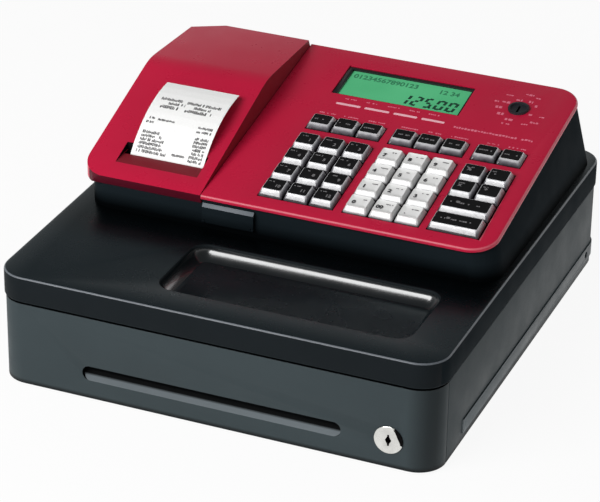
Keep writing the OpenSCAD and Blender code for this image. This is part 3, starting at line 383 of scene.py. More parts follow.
def finished(name, bm, materials, body, replaces, smooth):
    """Turns a bmesh in metres into an object, shaded smooth below an angle, lets it ride on its
    body and hides the CAD parts that it replaces.
    """
    for face in bm.faces:
        face.smooth = True
    for edge in bm.edges:
        edge.smooth = len(edge.link_faces) == 2 and edge.calc_face_angle(0.0) < smooth
    mesh = bpy.data.meshes.new(name)
    bm.to_mesh(mesh)
    bm.free()
    obj = bpy.data.objects.new(name, mesh)
    bpy.context.scene.collection.objects.link(obj)
    for material in materials:
        mesh.materials.append(material)
    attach(obj, body)
    if replaces:
        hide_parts(*replaces)
    return obj


def softened(node, material, rules=(), default=0.4, paints=(), profiles=()):
    """Copy of a CAD node with rounded edges that stands for it.

    rules are (test, width in mm, segments): the first test that an edge's middle passes sets its
    width. paints are (test, material) for faces: the last test that a face passes sets its paint.
    profiles are (width, shape) for the widths whose bevel isn't round.
    """
    bm = bmesh.new()
    bm.from_mesh(NODES[node].data)
    bm.transform(Matrix.Scale(1 / MM, 4))
    bmesh.ops.remove_doubles(bm, verts=bm.verts, dist=WELD)
    bmesh.ops.dissolve_limit(bm, angle_limit=FLAT_ANGLE, verts=bm.verts, edges=bm.edges)
    groups = {}
    for edge in bm.edges:
        if len(edge.link_faces) != 2 or edge.calc_face_angle(0.0) < CORNER_ANGLE:
            continue
        middle = (edge.verts[0].co + edge.verts[1].co) / 2
        width, count = default, ROUND_STEPS
        for test, rule_width, rule_count in rules:
            if test(middle, edge.is_convex):
                width, count = rule_width, rule_count
                break
        if width > 0:
            groups.setdefault((width, count), []).append(edge)
    for (width, count), edges in sorted(groups.items(), key=lambda item: -item[0][0]):
        edges = [e for e in edges if e.is_valid]
        bmesh.ops.bevel(
            bm, geom=edges, offset=width, offset_type="OFFSET", segments=count,
            profile=dict(profiles).get(width, ROUND_PROFILE), affect="EDGES",
            clamp_overlap=True, loop_slide=True,
        )
    materials = [material]
    for test, other in paints:
        materials.append(other)
        for face in bm.faces:
            if test(face.calc_center_median(), face.normal):
                face.material_index = len(materials) - 1
    bm.transform(Matrix.Scale(MM, 4))
    return finished(node + "_form", bm, materials, BODY_OF[node], (node,), FORM_SMOOTH)


def dressed(node, material, width):
    """Gives a CAD node its material, and a small bevel where one shows."""
    obj = NODES[node]
    obj.data.materials.clear()
    obj.data.materials.append(material)
    if width:
        flat = obj.modifiers.new("flat", "DECIMATE")
        flat.decimate_type = "DISSOLVE"
        flat.angle_limit = FLAT_ANGLE
        bevel = obj.modifiers.new("bevel", "BEVEL")
        bevel.width = width * MM
        bevel.segments = ROUND_STEPS
        bevel.limit_method = "ANGLE"
        bevel.angle_limit = BEVEL_ANGLE


def outline(x0, x1, y0, y1, r, steps=4):
    """Corner points of a rounded rectangle, counter-clockwise."""
    left, right, front, back = x0 + r, x1 - r, y0 + r, y1 - r
    corners = ((right, front, -90), (right, back, 0), (left, back, 90), (left, front, 180))
    points = []
    for cx, cy, start in corners:
        for i in range(steps + 1):
            a = math.radians(start + 90 * i / steps)
            points.append((cx + r * math.cos(a), cy + r * math.sin(a)))
    return points


def disc(r, count, cx, cy):
    """Points of a round outline."""
    turns = [2 * math.pi * i / count for i in range(count)]
    return [(cx + r * math.cos(a), cy + r * math.sin(a)) for a in turns]


def loft(bm, rings, material=0, close_top=True, close_bottom=True):
    """Skins rings of equal length, each a list of 3-D points."""
    made = [[bm.verts.new(p) for p in ring] for ring in rings]
    for low, high in zip(made, made[1:]):
        count = len(low)
        for i in range(count):
            j = (i + 1) % count
            bm.faces.new((low[i], low[j], high[j], high[i])).material_index = material
    if close_bottom:
        bm.faces.new(made[0][::-1]).material_index = material
    if close_top:
        bm.faces.new(made[-1]).material_index = material


def plate(bm, points, z0, z1, material=0):
    """Flat plate from an outline in X and Y."""
    loft(bm, [[(x, y, z) for x, y in points] for z in (z0, z1)], material)


def glyph(bm, text, size, x, y, z, thick, material=0):
    """Adds plain characters as thin raised print, centred on a point."""
    curve = bpy.data.curves.new("glyph", "FONT")
    curve.body = text
    curve.size = size
    curve.extrude = thick / 2
    curve.offset = PRINT_BOLD * size
    curve.resolution_u = PRINT_STEPS
    curve.align_x, curve.align_y = "CENTER", "CENTER"
    obj = bpy.data.objects.new("glyph", curve)
    bpy.context.scene.collection.objects.link(obj)
    bpy.context.view_layer.update()
    mesh = bpy.data.meshes.new_from_object(obj)
    bpy.data.objects.remove(obj)
    bpy.data.curves.remove(curve)
    other = bmesh.new()
    other.from_mesh(mesh)
    bpy.data.meshes.remove(mesh)
    bmesh.ops.remove_doubles(other, verts=other.verts, dist=PRINT_WELD)
    other.transform(Matrix.Translation((x, y, z)))
    join(bm, other, material)


def join(bm, other, material):
    """Moves the faces of one bmesh into another, and leaves out those that are there twice."""
    seen = {v: bm.verts.new(v.co) for v in other.verts}
    for face in other.faces:
        try:
            bm.faces.new([seen[v] for v in face.verts]).material_index = material
        except ValueError:
            pass
    other.free()


DASH_WIDTH, DASH_GAP, DASH_LEAST, DASH_TRIM = (0.5, 1.1), 0.28, 0.3, (0, 0, 0.2)


def dashes(bm, rng, x0, x1, y, tall, z, material, fill, thick):
    """Row of short raised strokes that stands for a line of small print."""
    x = x0
    while x < x1 - DASH_LEAST * tall:
        w = min(rng.uniform(*DASH_WIDTH) * tall, x1 - x)
        if rng.random() < fill:
            low = y - tall / 2 + rng.choice(DASH_TRIM) * tall
            high = y + tall / 2 - rng.choice(DASH_TRIM) * tall
            plate(bm, [(x, low), (x + w, low), (x + w, high), (x, high)], z, z + thick, material)
        x += w + DASH_GAP * tall


# ---------------------------------------------------------------- keys

KEY_SKIRT, WELL_RIM, SHOULDER = -3.6, -0.1, 0.4
TAPER_SIDE, TAPER_FRONT, TAPER_BACK = 1.9, 3.8, 2.0
KEY_HEIGHT, SMALL_HEIGHT, SMALL_CUT = 4.6, 3.6, 1.6
RIM = 0.3
STEM, STEM_FOOT, STEM_TOP = 2.5, -9.7, KEY_SKIRT + 0.1
MARK_SINK, MARK_THICK = 0.1, 0.16
STROKE_SINK, STROKE_THICK = 0.3, 0.25

# Left, right and middle as shares of the key's top, then height, ink and fill of the strokes.
KEY_STROKES = {
    "white": (0.5, 0.86, 0.68, 0.9, 3, 0.7),
    "wide": (0.14, 0.8, 0.5, 1.3, 2, 0.6),
    "dark": (0.12, 0.5, 0.74, 1.0, 2, 0.6),
}

# Size of a key's mark, then its place as shares of the key's top.
DEPARTMENT_MARK, NUMBER_MARK, RIGHT_MARK = (4.2, 0.68, 0.4), (5.2, 0.26, 0.36), (5.0, 0.3, 0.55)


def key_cap(bm, w, d, height, white):
    """Key cap: skirt, sloped bevels, rounded rim and a legend plate that is slightly dished."""
    x, y = w / 2, d / 2
    top = (-x + TAPER_SIDE, x - TAPER_SIDE, -y + TAPER_FRONT, y - TAPER_BACK)
    near, dish = (0.82, 0.55) if white else (0.9, 0.22)
    rise = height - SHOULDER

    def ring(z, share, inset, r):
        """Rounded outline at a share of the way from the skirt's size to the top's."""
        x0 = -x + (top[0] + x) * share + inset
        x1 = x - (x - top[1]) * share - inset
        y0 = -y + (top[2] + y) * share + inset
        y1 = y - (y - top[3]) * share - inset
        return [(px, py, z) for px, py in outline(x0, x1, y0, y1, r)]

    sides = [
        ring(KEY_SKIRT, 0, 0, 1.6),
        ring(WELL_RIM, 0, 0, 1.6),
        ring(SHOULDER, 0, 0.12, 1.6),
        ring(SHOULDER + rise * 0.45, 0.45, 0.1, 1.5),
        ring(SHOULDER + rise * near, near, 0.05, 1.4),
        ring(height - 0.14, near + (1 - near) * 0.55, 0.05, 1.35),
        ring(height, 1.0, 0.15, 1.3),
    ]
    legend = [ring(height, 1.0, RIM, 1.1), ring(height - 0.12, 1.0, RIM + 0.14, 1.0)]
    middle = ring(height - dish, 1.0, RIM + (top[1] - top[0]) * 0.24, 1.0)
    loft(bm, sides + legend[:1], 0, close_top=False)
    loft(bm, legend + [middle], 1, close_bottom=False)
    bmesh.ops.remove_doubles(bm, verts=bm.verts, dist=WELD)
    return top


def cap_heights(obj, place, low, high):
    """Stores how far up the cap each vertex lies, from 0 at the well's rim to 1 at the top."""
    back = (Matrix.Scale(MM, 4) @ place).inverted()
    values = obj.data.attributes.new("cap_height", "FLOAT", "POINT")
    for i, vertex in enumerate(obj.data.vertices):
        z = (back @ vertex.co).z
        values.data[i].value = min(1.0, max(0.0, (z - low) / (high - low)))


def key(node, x, v, span=1, white=False, small=False, mark=None):
    """Key with cap, stem, small print and an optional mark, in place of its CAD node."""
    w = span * KEY_PITCH - KEY_GAP
    d = ROW_PITCH - KEY_GAP - (SMALL_CUT if small else 0.0)
    height = SMALL_HEIGHT if small else KEY_HEIGHT
    bm = bmesh.new()
    x0, x1, y0, y1 = key_cap(bm, w, d, height, white)
    square = [(-STEM, -STEM), (STEM, -STEM), (STEM, STEM), (-STEM, STEM)]
    plate(bm, square, STEM_FOOT, STEM_TOP)
    wide, deep = x1 - x0, y1 - y0
    if mark:
        text, size, fx, fy = mark
        mark_z = height - MARK_SINK
        glyph(bm, text, size, x0 + wide * fx, y0 + deep * fy, mark_z, MARK_THICK, 2)
    kind = "white" if white else "wide" if small or span == 2 else "dark"
    u0, u1, up, tall, ink, fill = KEY_STROKES[kind]
    dashes(bm, random.Random(node), x0 + wide * u0, x0 + wide * u1, y0 + deep * up, tall,
           height - STROKE_SINK, ink, fill, STROKE_THICK)
    skins = [KEY_CLEAR, LEGEND_BLACK, INK_GREY]
    if white:
        skins = [KEY_WHITE, KEY_TOP_WHITE, INK_DARK, INK_GREY]
    place = panel(x, v)
    obj = piece(node + "_cap", bm, skins, BODY_OF[node], place, (node,))
    cap_heights(obj, place, WELL_RIM, height)


def column(start, i):
    """Middle of a block's column of keys."""
    return start + (i + 0.5) * KEY_PITCH


def row(j):
    """Middle of a row of keys, counted from the front."""
    return ROW_START + j * ROW_PITCH


DIGITS = ["7", "8", "9", "4", "5", "6", "1", "2", "3", "0", "00", "point"]
RIGHT_KEYS = [
    ("key_percent", 0, 3, 1, "%"), ("key_check", 1, 3, 1, "-"),
    ("key_credit", 0, 2, 1, "x"), ("key_receive", 1, 2, 1, "+"),
    ("key_subtotal", 0.5, 1, 2, "="), ("key_total", 0.5, 0, 2, "="),
]
for i, digit in enumerate(DIGITS):
    j, c = 3 - i // 3, i % 3
    number = str(i + 1)
    key(f"key_department_{number}", column(LEFT_BLOCK, c), row(j), mark=(number, *DEPARTMENT_MARK))
    text = "." if digit == "point" else digit
    key(f"key_number_{digit}", column(NUMBER_BLOCK, c), row(j), white=True,
        mark=(text, *NUMBER_MARK))
for node, c, j, span, text in RIGHT_KEYS:
    key(node, column(RIGHT_BLOCK, c), row(j), span, mark=(text, *RIGHT_MARK))
for i in range(8):
    start, c = ((LEFT_BLOCK, i), (NUMBER_BLOCK, i - 3), (RIGHT_BLOCK, i - 6))[i // 3]
    key(f"key_function_{i + 1}", column(start, c), TOP_ROW, small=True)

# ---------------------------------------------------------------- mouldings

# The tests below pick edges by place (mm) and faces by place and slant. A limit lies between
# two features of the part, so it only has to be near. A normal's z is 1 on a level face.
ON_PLANE = 0.05
UPRIGHT, TILTED, SIDEWAYS = 0.2, 0.3, 0.85
LEVEL, LID_TILT, DISH_TILT = 0.95, (0.2, 0.96), (0.1, 0.97)
LID_RIM, LID_OUTSIDE = (143, 158), (148, 164)
LID_EDGE_Z, LID_SIDE_Z, DISH_EDGE_Z, DISH_WALL_Z = 84, 85, 84.2, 76.2
DISH_RIM_X, DISH_X, DISH_Y = 140, 141, (-162, -70)
DISH_ROUND, DISH_PROFILE = 7.0, 0.34
FOOT_EDGE_Z, FOOT_FACE_Z, FOOT_SLANT = 1.7, 5.5, -0.15
BAND_X, BAND_Z = 164.2, (7, 18.5)
BAND_LEDGE_X, BAND_LEDGE_Z = 163.9, (7, 18.6)
BAND_CORNER_X, BAND_CORNER_Z = 163, (6.5, 19)
GROOVE_BOX = ((-99, 97), (-178.9, -172), (15, 27.5))
FRONT_LEDGE_Z, FRONT_TOP_Z = 64.6, 64.0
FRONT_FOOT_Y, FRONT_LEDGE_Y, FRONT_TOP_Y = -150, -155, -163


def between(value, span):
    """Whether a value lies inside a span."""
    return span[0] < value < span[1]


def beyond(p, half):
    """Whether a point lies outside a half width or a half depth."""
    return abs(p.x) > half[0] or abs(p.y) > half[1]


def lid_rim(p, convex):
    """Edge round the lid's top."""
    return convex and beyond(p, LID_RIM) and abs(p.z - LID_TOP) < ON_PLANE


def dish_rim(p, convex):
    """Edge where the dish opens in the lid's top."""
    inner = abs(p.x) < DISH_RIM_X and p.y < DISH_Y[1]
    return convex and inner and abs(p.z - LID_TOP) < ON_PLANE


def dish_floor(p, convex):
    """Hollow edge round the dish's floor."""
    return not convex and abs(p.z - DISH_FLOOR) < 2 * ON_PLANE


def lid_side(p, normal):
    """Upright outside of the lid."""
    return abs(normal.z) < UPRIGHT and beyond(p, LID_OUTSIDE) and p.z < LID_SIDE_Z


def lid_shade(p, normal):
    """The lid's outside where it faces left or right."""
    return lid_side(p, normal) and abs(normal.x) > SIDEWAYS


def lid_edge_highlight(p, normal):
    """Rounded edge of the lid's top."""
    return beyond(p, LID_OUTSIDE) and p.z > LID_EDGE_Z and between(normal.z, LID_TILT)


def in_dish(p):
    """Whether a point lies over the coin dish."""
    return abs(p.x) < DISH_X and between(p.y, DISH_Y)


def dish_edge(p, normal):
    """Rounded edge at the dish's opening."""
    return in_dish(p) and p.z > DISH_EDGE_Z and between(normal.z, DISH_TILT)


def dish_wall(p, normal):
    """The dish's back and left wall, with the round at their foot."""
    lit = normal.y < -UPRIGHT or normal.x > UPRIGHT
    tall = DISH_WALL_Z < p.z <= DISH_EDGE_Z
    return in_dish(p) and tall and normal.z < DISH_TILT[1] and lit


def front_foot(p, convex):
    """Lower edge of the drawer front."""
    return convex and p.z < FOOT_EDGE_Z and p.y < FRONT_FOOT_Y


def foot_faces(p, normal):
    """Faces near the counter that look down."""
    return p.z < FOOT_FACE_Z and normal.z < FOOT_SLANT


def band_faces(p, normal):
    """Base band on the cabinet's sides."""
    return abs(p.x) > BAND_X and between(p.z, BAND_Z)


def band_ledge(p, normal):
    """Top and front edge of the base band."""
    slant = normal.z > TILTED or normal.y < -TILTED
    return abs(p.x) > BAND_LEDGE_X and between(p.z, BAND_LEDGE_Z) and slant


def band_corner(p, convex):
    """Hollow edge where the base band meets the cabinet's side."""
    return not convex and abs(p.x) > BAND_CORNER_X and between(p.z, BAND_CORNER_Z)


def in_groove(p):
    """Whether a point lies inside the finger groove."""
    return all(between(value, span) for value, span in zip(p, GROOVE_BOX))


def groove_slope(p, normal):
    """The groove's lower side, which slopes to the front."""
    return in_groove(p) and normal.z > TILTED and normal.y < -TILTED


def groove_faces(p, normal):
    """The rest of the groove."""
    return in_groove(p) and not groove_slope(p, normal)


def front_ledge(p, normal):
    """Level top of the drawer front."""
    return p.z > FRONT_LEDGE_Z and normal.z > LEVEL and p.y < FRONT_LEDGE_Y


def front_top_edge(p, normal):
    """Rounded upper edge of the drawer front."""
    return p.z > FRONT_TOP_Z and UPRIGHT < normal.z <= LEVEL and p.y < FRONT_TOP_Y


# Painted highlight on the rounded edge of the lid's top; the lid's top carries painted shade near
# the case.
softened("lid", LID, [(lid_rim, 1.8, 4), (dish_rim, 1.6, 4), (dish_floor, DISH_ROUND, 8)],
         profiles=[(DISH_ROUND, DISH_PROFILE)],
         paints=[(lid_side, LID_SIDE), (lid_shade, LID_SHADE), (lid_edge_highlight, LID_EDGE_LIGHT),
                 (dish_edge, LID_SIDE), (dish_wall, DISH_WALL)])
# Painted light on the base band and its ledge, painted shade on faces that look down and towards
# the counter.
softened("cabinet", HOUSING, [(band_corner, 0.0, 1)],
         paints=[(band_faces, HOUSING_PAINTED_LIGHT), (band_ledge, HOUSING_LEDGE_LIT),
                 (foot_faces, HOUSING_UNDER_SHADE)])
# Painted shade in the finger groove, on the drawer front's top, on faces that look down, at the
# foot and at the right corner; painted light on the groove's slope and the front's upper edge.
softened("drawer", DRAWER, [(front_foot, 2.4, 3)], default=0.6,
         paints=[(groove_faces, GROOVE), (groove_slope, GROOVE_SLOPE), (front_ledge, GROOVE),
                 (front_top_edge, HOUSING_PAINTED_LIGHT), (foot_faces, HOUSING_UNDER_SHADE)])
# The case carries painted shade towards the lid.
softened("register_case", CASE)

PANEL_RIGHT, PANEL_ENDS = 141, (2, 205)
PANEL_EDGE_H, PANEL_EDGE_TILT, PANEL_EDGE_WIDE = -1.9, (0.3, 0.93), 0.5
WELLS_X, WELLS_V, WELLS_H = (-26, 144), (10, 123), (-9.6, -0.25)
UNDER_SLOPE, UNDER_TOP, COVER_EDGE_DEEP = 2.6, 3.0, 0.3
COVER_EDGE_X, COVER_SIDE_X = -60, -66
LIP_Y, LIP_SLANT = -50, -0.75
SLOT_X, SLOT_Y = (-137.5, -69.5), (-48, -23)
RAMP_Y, RAMP_LEVEL = -32, 0.98
SLOT_MIDDLE, SLOT_HALF, SLOT_SLANT = -103.5, 34.5, 0.5
FLAP_Z = 102


def panel_height(p):
    """Height of a point over the panel's face, square to it."""
    return (p.z - PANEL_Z) * math.cos(SLOPE) - (p.y - PANEL_Y) * math.sin(SLOPE)


def panel_v(p):
    """Place of a point up the panel's slope."""
    return (p.y - PANEL_Y) * math.cos(SLOPE) + (p.z - PANEL_Z) * math.sin(SLOPE)


def at_panel_edge(p, margin):
    """Whether a point lies near the panel's right, front or back edge."""
    v = panel_v(p)
    return p.x > PANEL_RIGHT - margin or v < PANEL_ENDS[0] + margin or v > PANEL_ENDS[1] - margin


def panel_rim(p, convex):
    """The panel's right, front and back edge."""
    return convex and at_panel_edge(p, 0) and abs(panel_height(p)) < ON_PLANE


def in_well(p, normal):
    """Insides of the key wells."""
    inside = between(p.x, WELLS_X) and between(panel_v(p), WELLS_V)
    return inside and between(panel_height(p), WELLS_H)


def panel_edge(p, normal):
    """The round along the panel's right, front and back edge."""
    tilt = normal.z * math.cos(SLOPE) - normal.y * math.sin(SLOPE)
    near = at_panel_edge(p, PANEL_EDGE_WIDE) and panel_height(p) > PANEL_EDGE_H
    return near and between(tilt, PANEL_EDGE_TILT)


def cover_height(p):
    """Height just under the cover's top, over a point's place from front to back."""
    crest = (COVER_TOP - PANEL_Z) / math.tan(COVER_SLOPE)
    back = p.y - PANEL_Y
    if back < crest:
        return PANEL_Z + back * math.tan(COVER_SLOPE) - UNDER_SLOPE
    return COVER_TOP - UNDER_TOP


def on_slot(p):
    """Whether a point lies over the receipt slot and its ramp."""
    return between(p.x, SLOT_X) and between(p.y, SLOT_Y)


def cover_edge(p, convex):
    """Edges round the cover's top."""
    high = p.z > cover_height(p) - COVER_EDGE_DEEP
    return convex and high and p.x < COVER_EDGE_X and not on_slot(p)


def cover_side(p, normal):
    """The cover's right side, over the panel."""
    return normal.x > SIDEWAYS and p.x > COVER_SIDE_X


def cover_lip(p, normal):
    """The cover's front."""
    return normal.y < LIP_SLANT and p.y < LIP_Y


def slot_ramp(p, normal):
    """Floor of the recess in front of the receipt slot."""
    return on_slot(p) and p.y < RAMP_Y and normal.z > RAMP_LEVEL


def slot_wall(p, normal):
    """Upright walls round the receipt slot."""
    upright = abs(normal.z) < SLOT_SLANT
    return on_slot(p) and upright and abs(p.x - SLOT_MIDDLE) < SLOT_HALF


def flap_slant(p, normal):
    """Slanted upper edge of the card slot's flap."""
    return p.z > FLAP_Z and normal.y < -TILTED and normal.z > TILTED


# Painted shade in the key wells, painted highlight along the panel's rounded edge.
softened("keyboard_panel", RED, [(panel_rim, 1.8, 4)], default=0.35,
         paints=[(in_well, WELL), (panel_edge, RED_EDGE_HIGHLIGHT)])
# Painted shade on the cover's right side, front, slot ramp and slot walls.
softened("printer_cover", RED, [(cover_edge, 2.4, 4)],
         paints=[(cover_side, RED_SIDE_SHADE), (cover_lip, RED_LIP_SHADE), (slot_ramp, RED_RAMP_SHADE),
                 (slot_wall, RED_DEEP_SHADE)])
# Painted light on the flap's slanted upper edge.
softened("card_slot_flap", CASE, default=0.5, paints=[(flap_slant, FLAP_EDGE_LIT)])
softened("display_module", BLACK_GLOSS, default=0.3)
softened("cash_tray", TRAY, default=0.5)
softened("mode_dial", DIAL)

for node, material, width in (
    ("feet", RUBBER, 0.3), ("cover_screws", STEEL, 0.0), ("circuit_board", BOARD, 0.0),
    ("printer_unit", STEEL, 0.3), ("drawer_release", STEEL, 0.3),
    ("paper_roll", ROLL, 0.3), ("platen_roller", RUBBER, 0.2), ("receipt_paper", PAPER, 0.0),
    ("note_clip_left", TRAY, 0.4), ("note_clip_middle", TRAY, 0.4), ("note_clip_right", TRAY, 0.4),
):
    dressed(node, material, width)

# ---------------------------------------------------------------- display

LAYER_X, LAYER_V, LAYER_R = (-17.9, 76.5), (153.2, 186.9), 0.8
LAYER_FOOT, LAYER_TOP = -2.58, -2.2
AMOUNT, AMOUNT_X, AMOUNT_V = "12500", 27.5, 156.4
AMOUNT_FOOT, AMOUNT_THICK, LINE_THICK = -2.24, 0.06, 0.05
DIGIT_W, DIGIT_H, DIGIT_BAR, DIGIT_STEP, DIGIT_LEAN = 7.2, 13.2, 2.2, 9.2, 0.16
DOT_R, DOT_POINTS, DOT_X, DOT_V = 0.9, 12, 53.2, 157.4
SEGMENTS = {"0": "abcdef", "1": "bc", "2": "abged", "5": "afgcd"}

# Text, size and middle of the characters over the amount.
LINES = [("01234567890123", 7.4, 10.4, 180.6), ("12 34", 7.2, 61.0, 179.6)]


def seven_segment(bm, digit, x, y):
    """Slanted seven-segment digit whose lower left corner is at x, y."""
    w, h, t, half, gap = DIGIT_W, DIGIT_H, DIGIT_BAR, DIGIT_H / 2, DIGIT_BAR * 0.4
    bars = {
        "a": (t, h, w - t, h - t), "g": (t, half + t / 2, w - t, half - t / 2),
        "d": (t, t, w - t, 0),
        "b": (w - t, h - gap, w, half + gap), "c": (w - t, half - gap, w, gap),
        "f": (0, h - gap, t, half + gap), "e": (0, half - gap, t, gap),
    }
    for name in SEGMENTS[digit]:
        x0, y1, x1, y0 = bars[name]
        corners = [(x0, y0), (x1, y0), (x1, y1), (x0, y1)]
        points = [(x + px + py * DIGIT_LEAN, y + py) for px, py in corners]
        plate(bm, points, AMOUNT_FOOT, AMOUNT_FOOT + AMOUNT_THICK)


def display():
    """Green layer in the frame's recess, with a line of characters and an amount."""
    bm = bmesh.new()
    plate(bm, outline(*LAYER_X, *LAYER_V, LAYER_R), LAYER_FOOT, LAYER_TOP)
    piece("display_layer", bm, [SCREEN], BASE, panel())
    bm = bmesh.new()
    x = AMOUNT_X
    for digit in AMOUNT:
        seven_segment(bm, digit, x, AMOUNT_V)
        x += DIGIT_STEP
    dot = disc(DOT_R, DOT_POINTS, DOT_X, DOT_V)
    plate(bm, dot, AMOUNT_FOOT, AMOUNT_FOOT + AMOUNT_THICK)
    piece("display_amount", bm, [LCD_DARK], BASE, panel())
    bm = bmesh.new()
    for text, size, x, v in LINES:
        glyph(bm, text, size, x, v, LAYER_TOP, LINE_THICK)
    piece("display_line", bm, [LCD_SOFT], BASE, panel())


display()

# ---------------------------------------------------------------- print on the panel

INK_FOOT, INK_THICK = -0.03, 0.09
BARS, BAR_V = ((-13.4, 5.8), (9.2, 28.6), (32.2, 50.4), (54.0, 71.8)), (138.4, 140.8)
BAR_R, BAR_STEPS = 0.6, 3
RULE_X, RULE_V = (80.0, 140.5), 136.9
KEY_NOTE_X, KEY_NOTE_V = (-7.0, 6.0), 125.0
DISPLAY_NOTES, DISPLAY_NOTE_LEN, DISPLAY_NOTE_V = (-9.0, 8.0, 25.0, 42.0, 57.0), 9.0, 147.0
DIAL_STRETCH, DIAL_FILL = 1.25, 0.95

# Height of the strokes, and the share of them that is printed.
RULE_PRINT, KEY_NOTE_PRINT, DISPLAY_NOTE_PRINT = (2.3, 0.9), (1.4, 0.75), (1.3, 0.7)

# Marks round the dial: middle from the dial's, width and height.
DIAL_MARKS = [
    (-11.6, 6.2, 6.0, 2.2), (-3.2, 11.4, 4.5, 2.4), (5.8, 11.9, 3.4, 2.2),
    (11.4, 7.5, 2.6, 2.2), (-14.1, -1.5, 6.4, 2.2), (-10.4, -9.3, 6.0, 2.4),
    (-2.3, -14.5, 6.6, 2.4), (10.6, -4.5, 2.6, 2.0), (-18.7, 5.5, 3.2, 1.5),
    (-11.9, 15.7, 5.6, 1.3), (2.6, 20.3, 7.0, 1.6), (9.4, 17.6, 3.4, 1.3),
    (19.5, -5.1, 3.6, 1.6), (16.6, -13.4, 6.4, 1.6), (10.4, -17.4, 4.8, 1.3),
    (-2.6, -20.6, 7.0, 1.2),
]


def panel_marks():
    """Plain strokes where the panel carries print: bars, a rule, and marks round the dial."""
    rng = random.Random(7)

    def line(bm, x0, x1, v, tall, fill):
        """Adds one row of strokes to a piece."""
        dashes(bm, rng, x0, x1, v, tall, INK_FOOT, 0, fill, INK_THICK)

    bm = bmesh.new()
    for x0, x1 in BARS:
        bar = outline(x0, x1, *BAR_V, BAR_R, BAR_STEPS)
        plate(bm, bar, INK_FOOT, INK_FOOT + INK_THICK)
    piece("panel_bars", bm, [INK_PINK], BASE, panel())
    bm = bmesh.new()
    line(bm, *RULE_X, RULE_V, *RULE_PRINT)
    for start, keys in ((LEFT_BLOCK, 3), (NUMBER_BLOCK, 3), (RIGHT_BLOCK, 2)):
        for i in range(keys):
            x = column(start, i)
            line(bm, x + KEY_NOTE_X[0], x + KEY_NOTE_X[1], KEY_NOTE_V, *KEY_NOTE_PRINT)
    for x in DISPLAY_NOTES:
        line(bm, x, x + DISPLAY_NOTE_LEN, DISPLAY_NOTE_V, *DISPLAY_NOTE_PRINT)
    piece("panel_notes", bm, [INK_ROSE], BASE, panel())
    bm = bmesh.new()
    for dx, dv, wide, tall in DIAL_MARKS:
        x, v = DIAL_X + dx, DIAL_V + dv
        line(bm, x - wide / 2, x + wide / 2, v, tall * DIAL_STRETCH, DIAL_FILL)
    piece("dial_marks", bm, [INK_ROSE], BASE, panel())


panel_marks()

# ---------------------------------------------------------------- receipt print

PAPER_X = (-130.6, -72.6)
PAPER_START, PAPER_R, PAPER_HEADING = (-31.3, 118.979), 90.34, math.radians(48.5)
PRINT_LIFTS = (0.13, 0.19)
PRINT_FILL, PRINT_SPREAD, PRINT_WIDTH, PRINT_GAP, PRINT_LEAST = 0.9, (0.45, 1.0), 0.42, 0.13, 0.2
PRINT_BELOW, PRINT_ABOVE = (0.5, 0.5, 0.3), (0.5, 0.5, 0.2)
ITEM_ENDS = (0.29, 0.34, 0.38, 0.36, 0.4, 0.46)

# Left and right end as shares of the paper's width, length above the slot, height of strokes.
PRINT_ROWS = [
    (0.09, 0.38, 51.6, 2.9), (0.45, 0.91, 51.2, 2.9),
    (0.2, 0.44, 47.6, 2.8), (0.57, 0.8, 47.2, 2.8),
    (0.13, 0.38, 43.4, 3.1), (0.47, 0.83, 43.0, 3.1),
    (0.06, 0.15, 31.2, 2.0), (0.19, 0.42, 30.8, 1.8), (0.05, 0.15, 27.4, 2.0),
    (0.75, 0.95, 29.9, 2.2), (0.75, 0.95, 26.4, 2.2),
    *((0.06, end, 18.9 - 3.1 * i, 2.4) for i, end in enumerate(ITEM_ENDS)),
    *((0.77, 0.95, 20.4 - 3.0 * i, 2.4) for i in range(7)),
    (0.54, 0.72, 4.6, 1.9),
]


def on_paper(x, s, lift):
    """Point on the receipt at a length s above the slot, on its printed side."""
    a = PAPER_HEADING - s / PAPER_R
    y = PAPER_START[0] + PAPER_R * (math.sin(PAPER_HEADING) - math.sin(a)) - lift * math.sin(a)
    z = PAPER_START[1] + PAPER_R * (math.cos(a) - math.cos(PAPER_HEADING)) + lift * math.cos(a)
    return (x, y, z)


def receipt_print():
    """Rows of plain strokes where a receipt carries its print."""
    rng = random.Random(11)
    bm = bmesh.new()
    left, right = PAPER_X
    wide = right - left
    for u0, u1, s, tall in PRINT_ROWS:
        x, end = left + wide * u0, left + wide * u1
        while x < end - PRINT_LEAST:
            w = min(rng.uniform(*PRINT_SPREAD) * tall * PRINT_WIDTH, end - x)
            if rng.random() < PRINT_FILL:
                low = s - tall * rng.choice(PRINT_BELOW)
                high = s + tall * rng.choice(PRINT_ABOVE)
                corners = [(x, low), (x + w, low), (x + w, high), (x, high)]
                loft(bm, [[on_paper(px, ps, lift) for px, ps in corners] for lift in PRINT_LIFTS])
            x += w + PRINT_GAP * tall
    piece("receipt_print", bm, [INK_PRINT], "printer_cover")


receipt_print()

# ---------------------------------------------------------------- lock and window

LOCK_STEPS = 96
KEYHOLE_WIDE, KEYHOLE_HIGH, KEYHOLE_SLOT, KEYHOLE_DEEP = 2.3, 4.3, 0.75, 5.0

# The stop notch's angles in degrees, where its wall lies, and from where the rest of the head is
# chrome again. The notch is painted black as shade.
NOTCH = (-14.0, 64.0)
NOTCH_WALL_R, NOTCH_WALL_Z, CHROME_R = 10, -0.8, 8

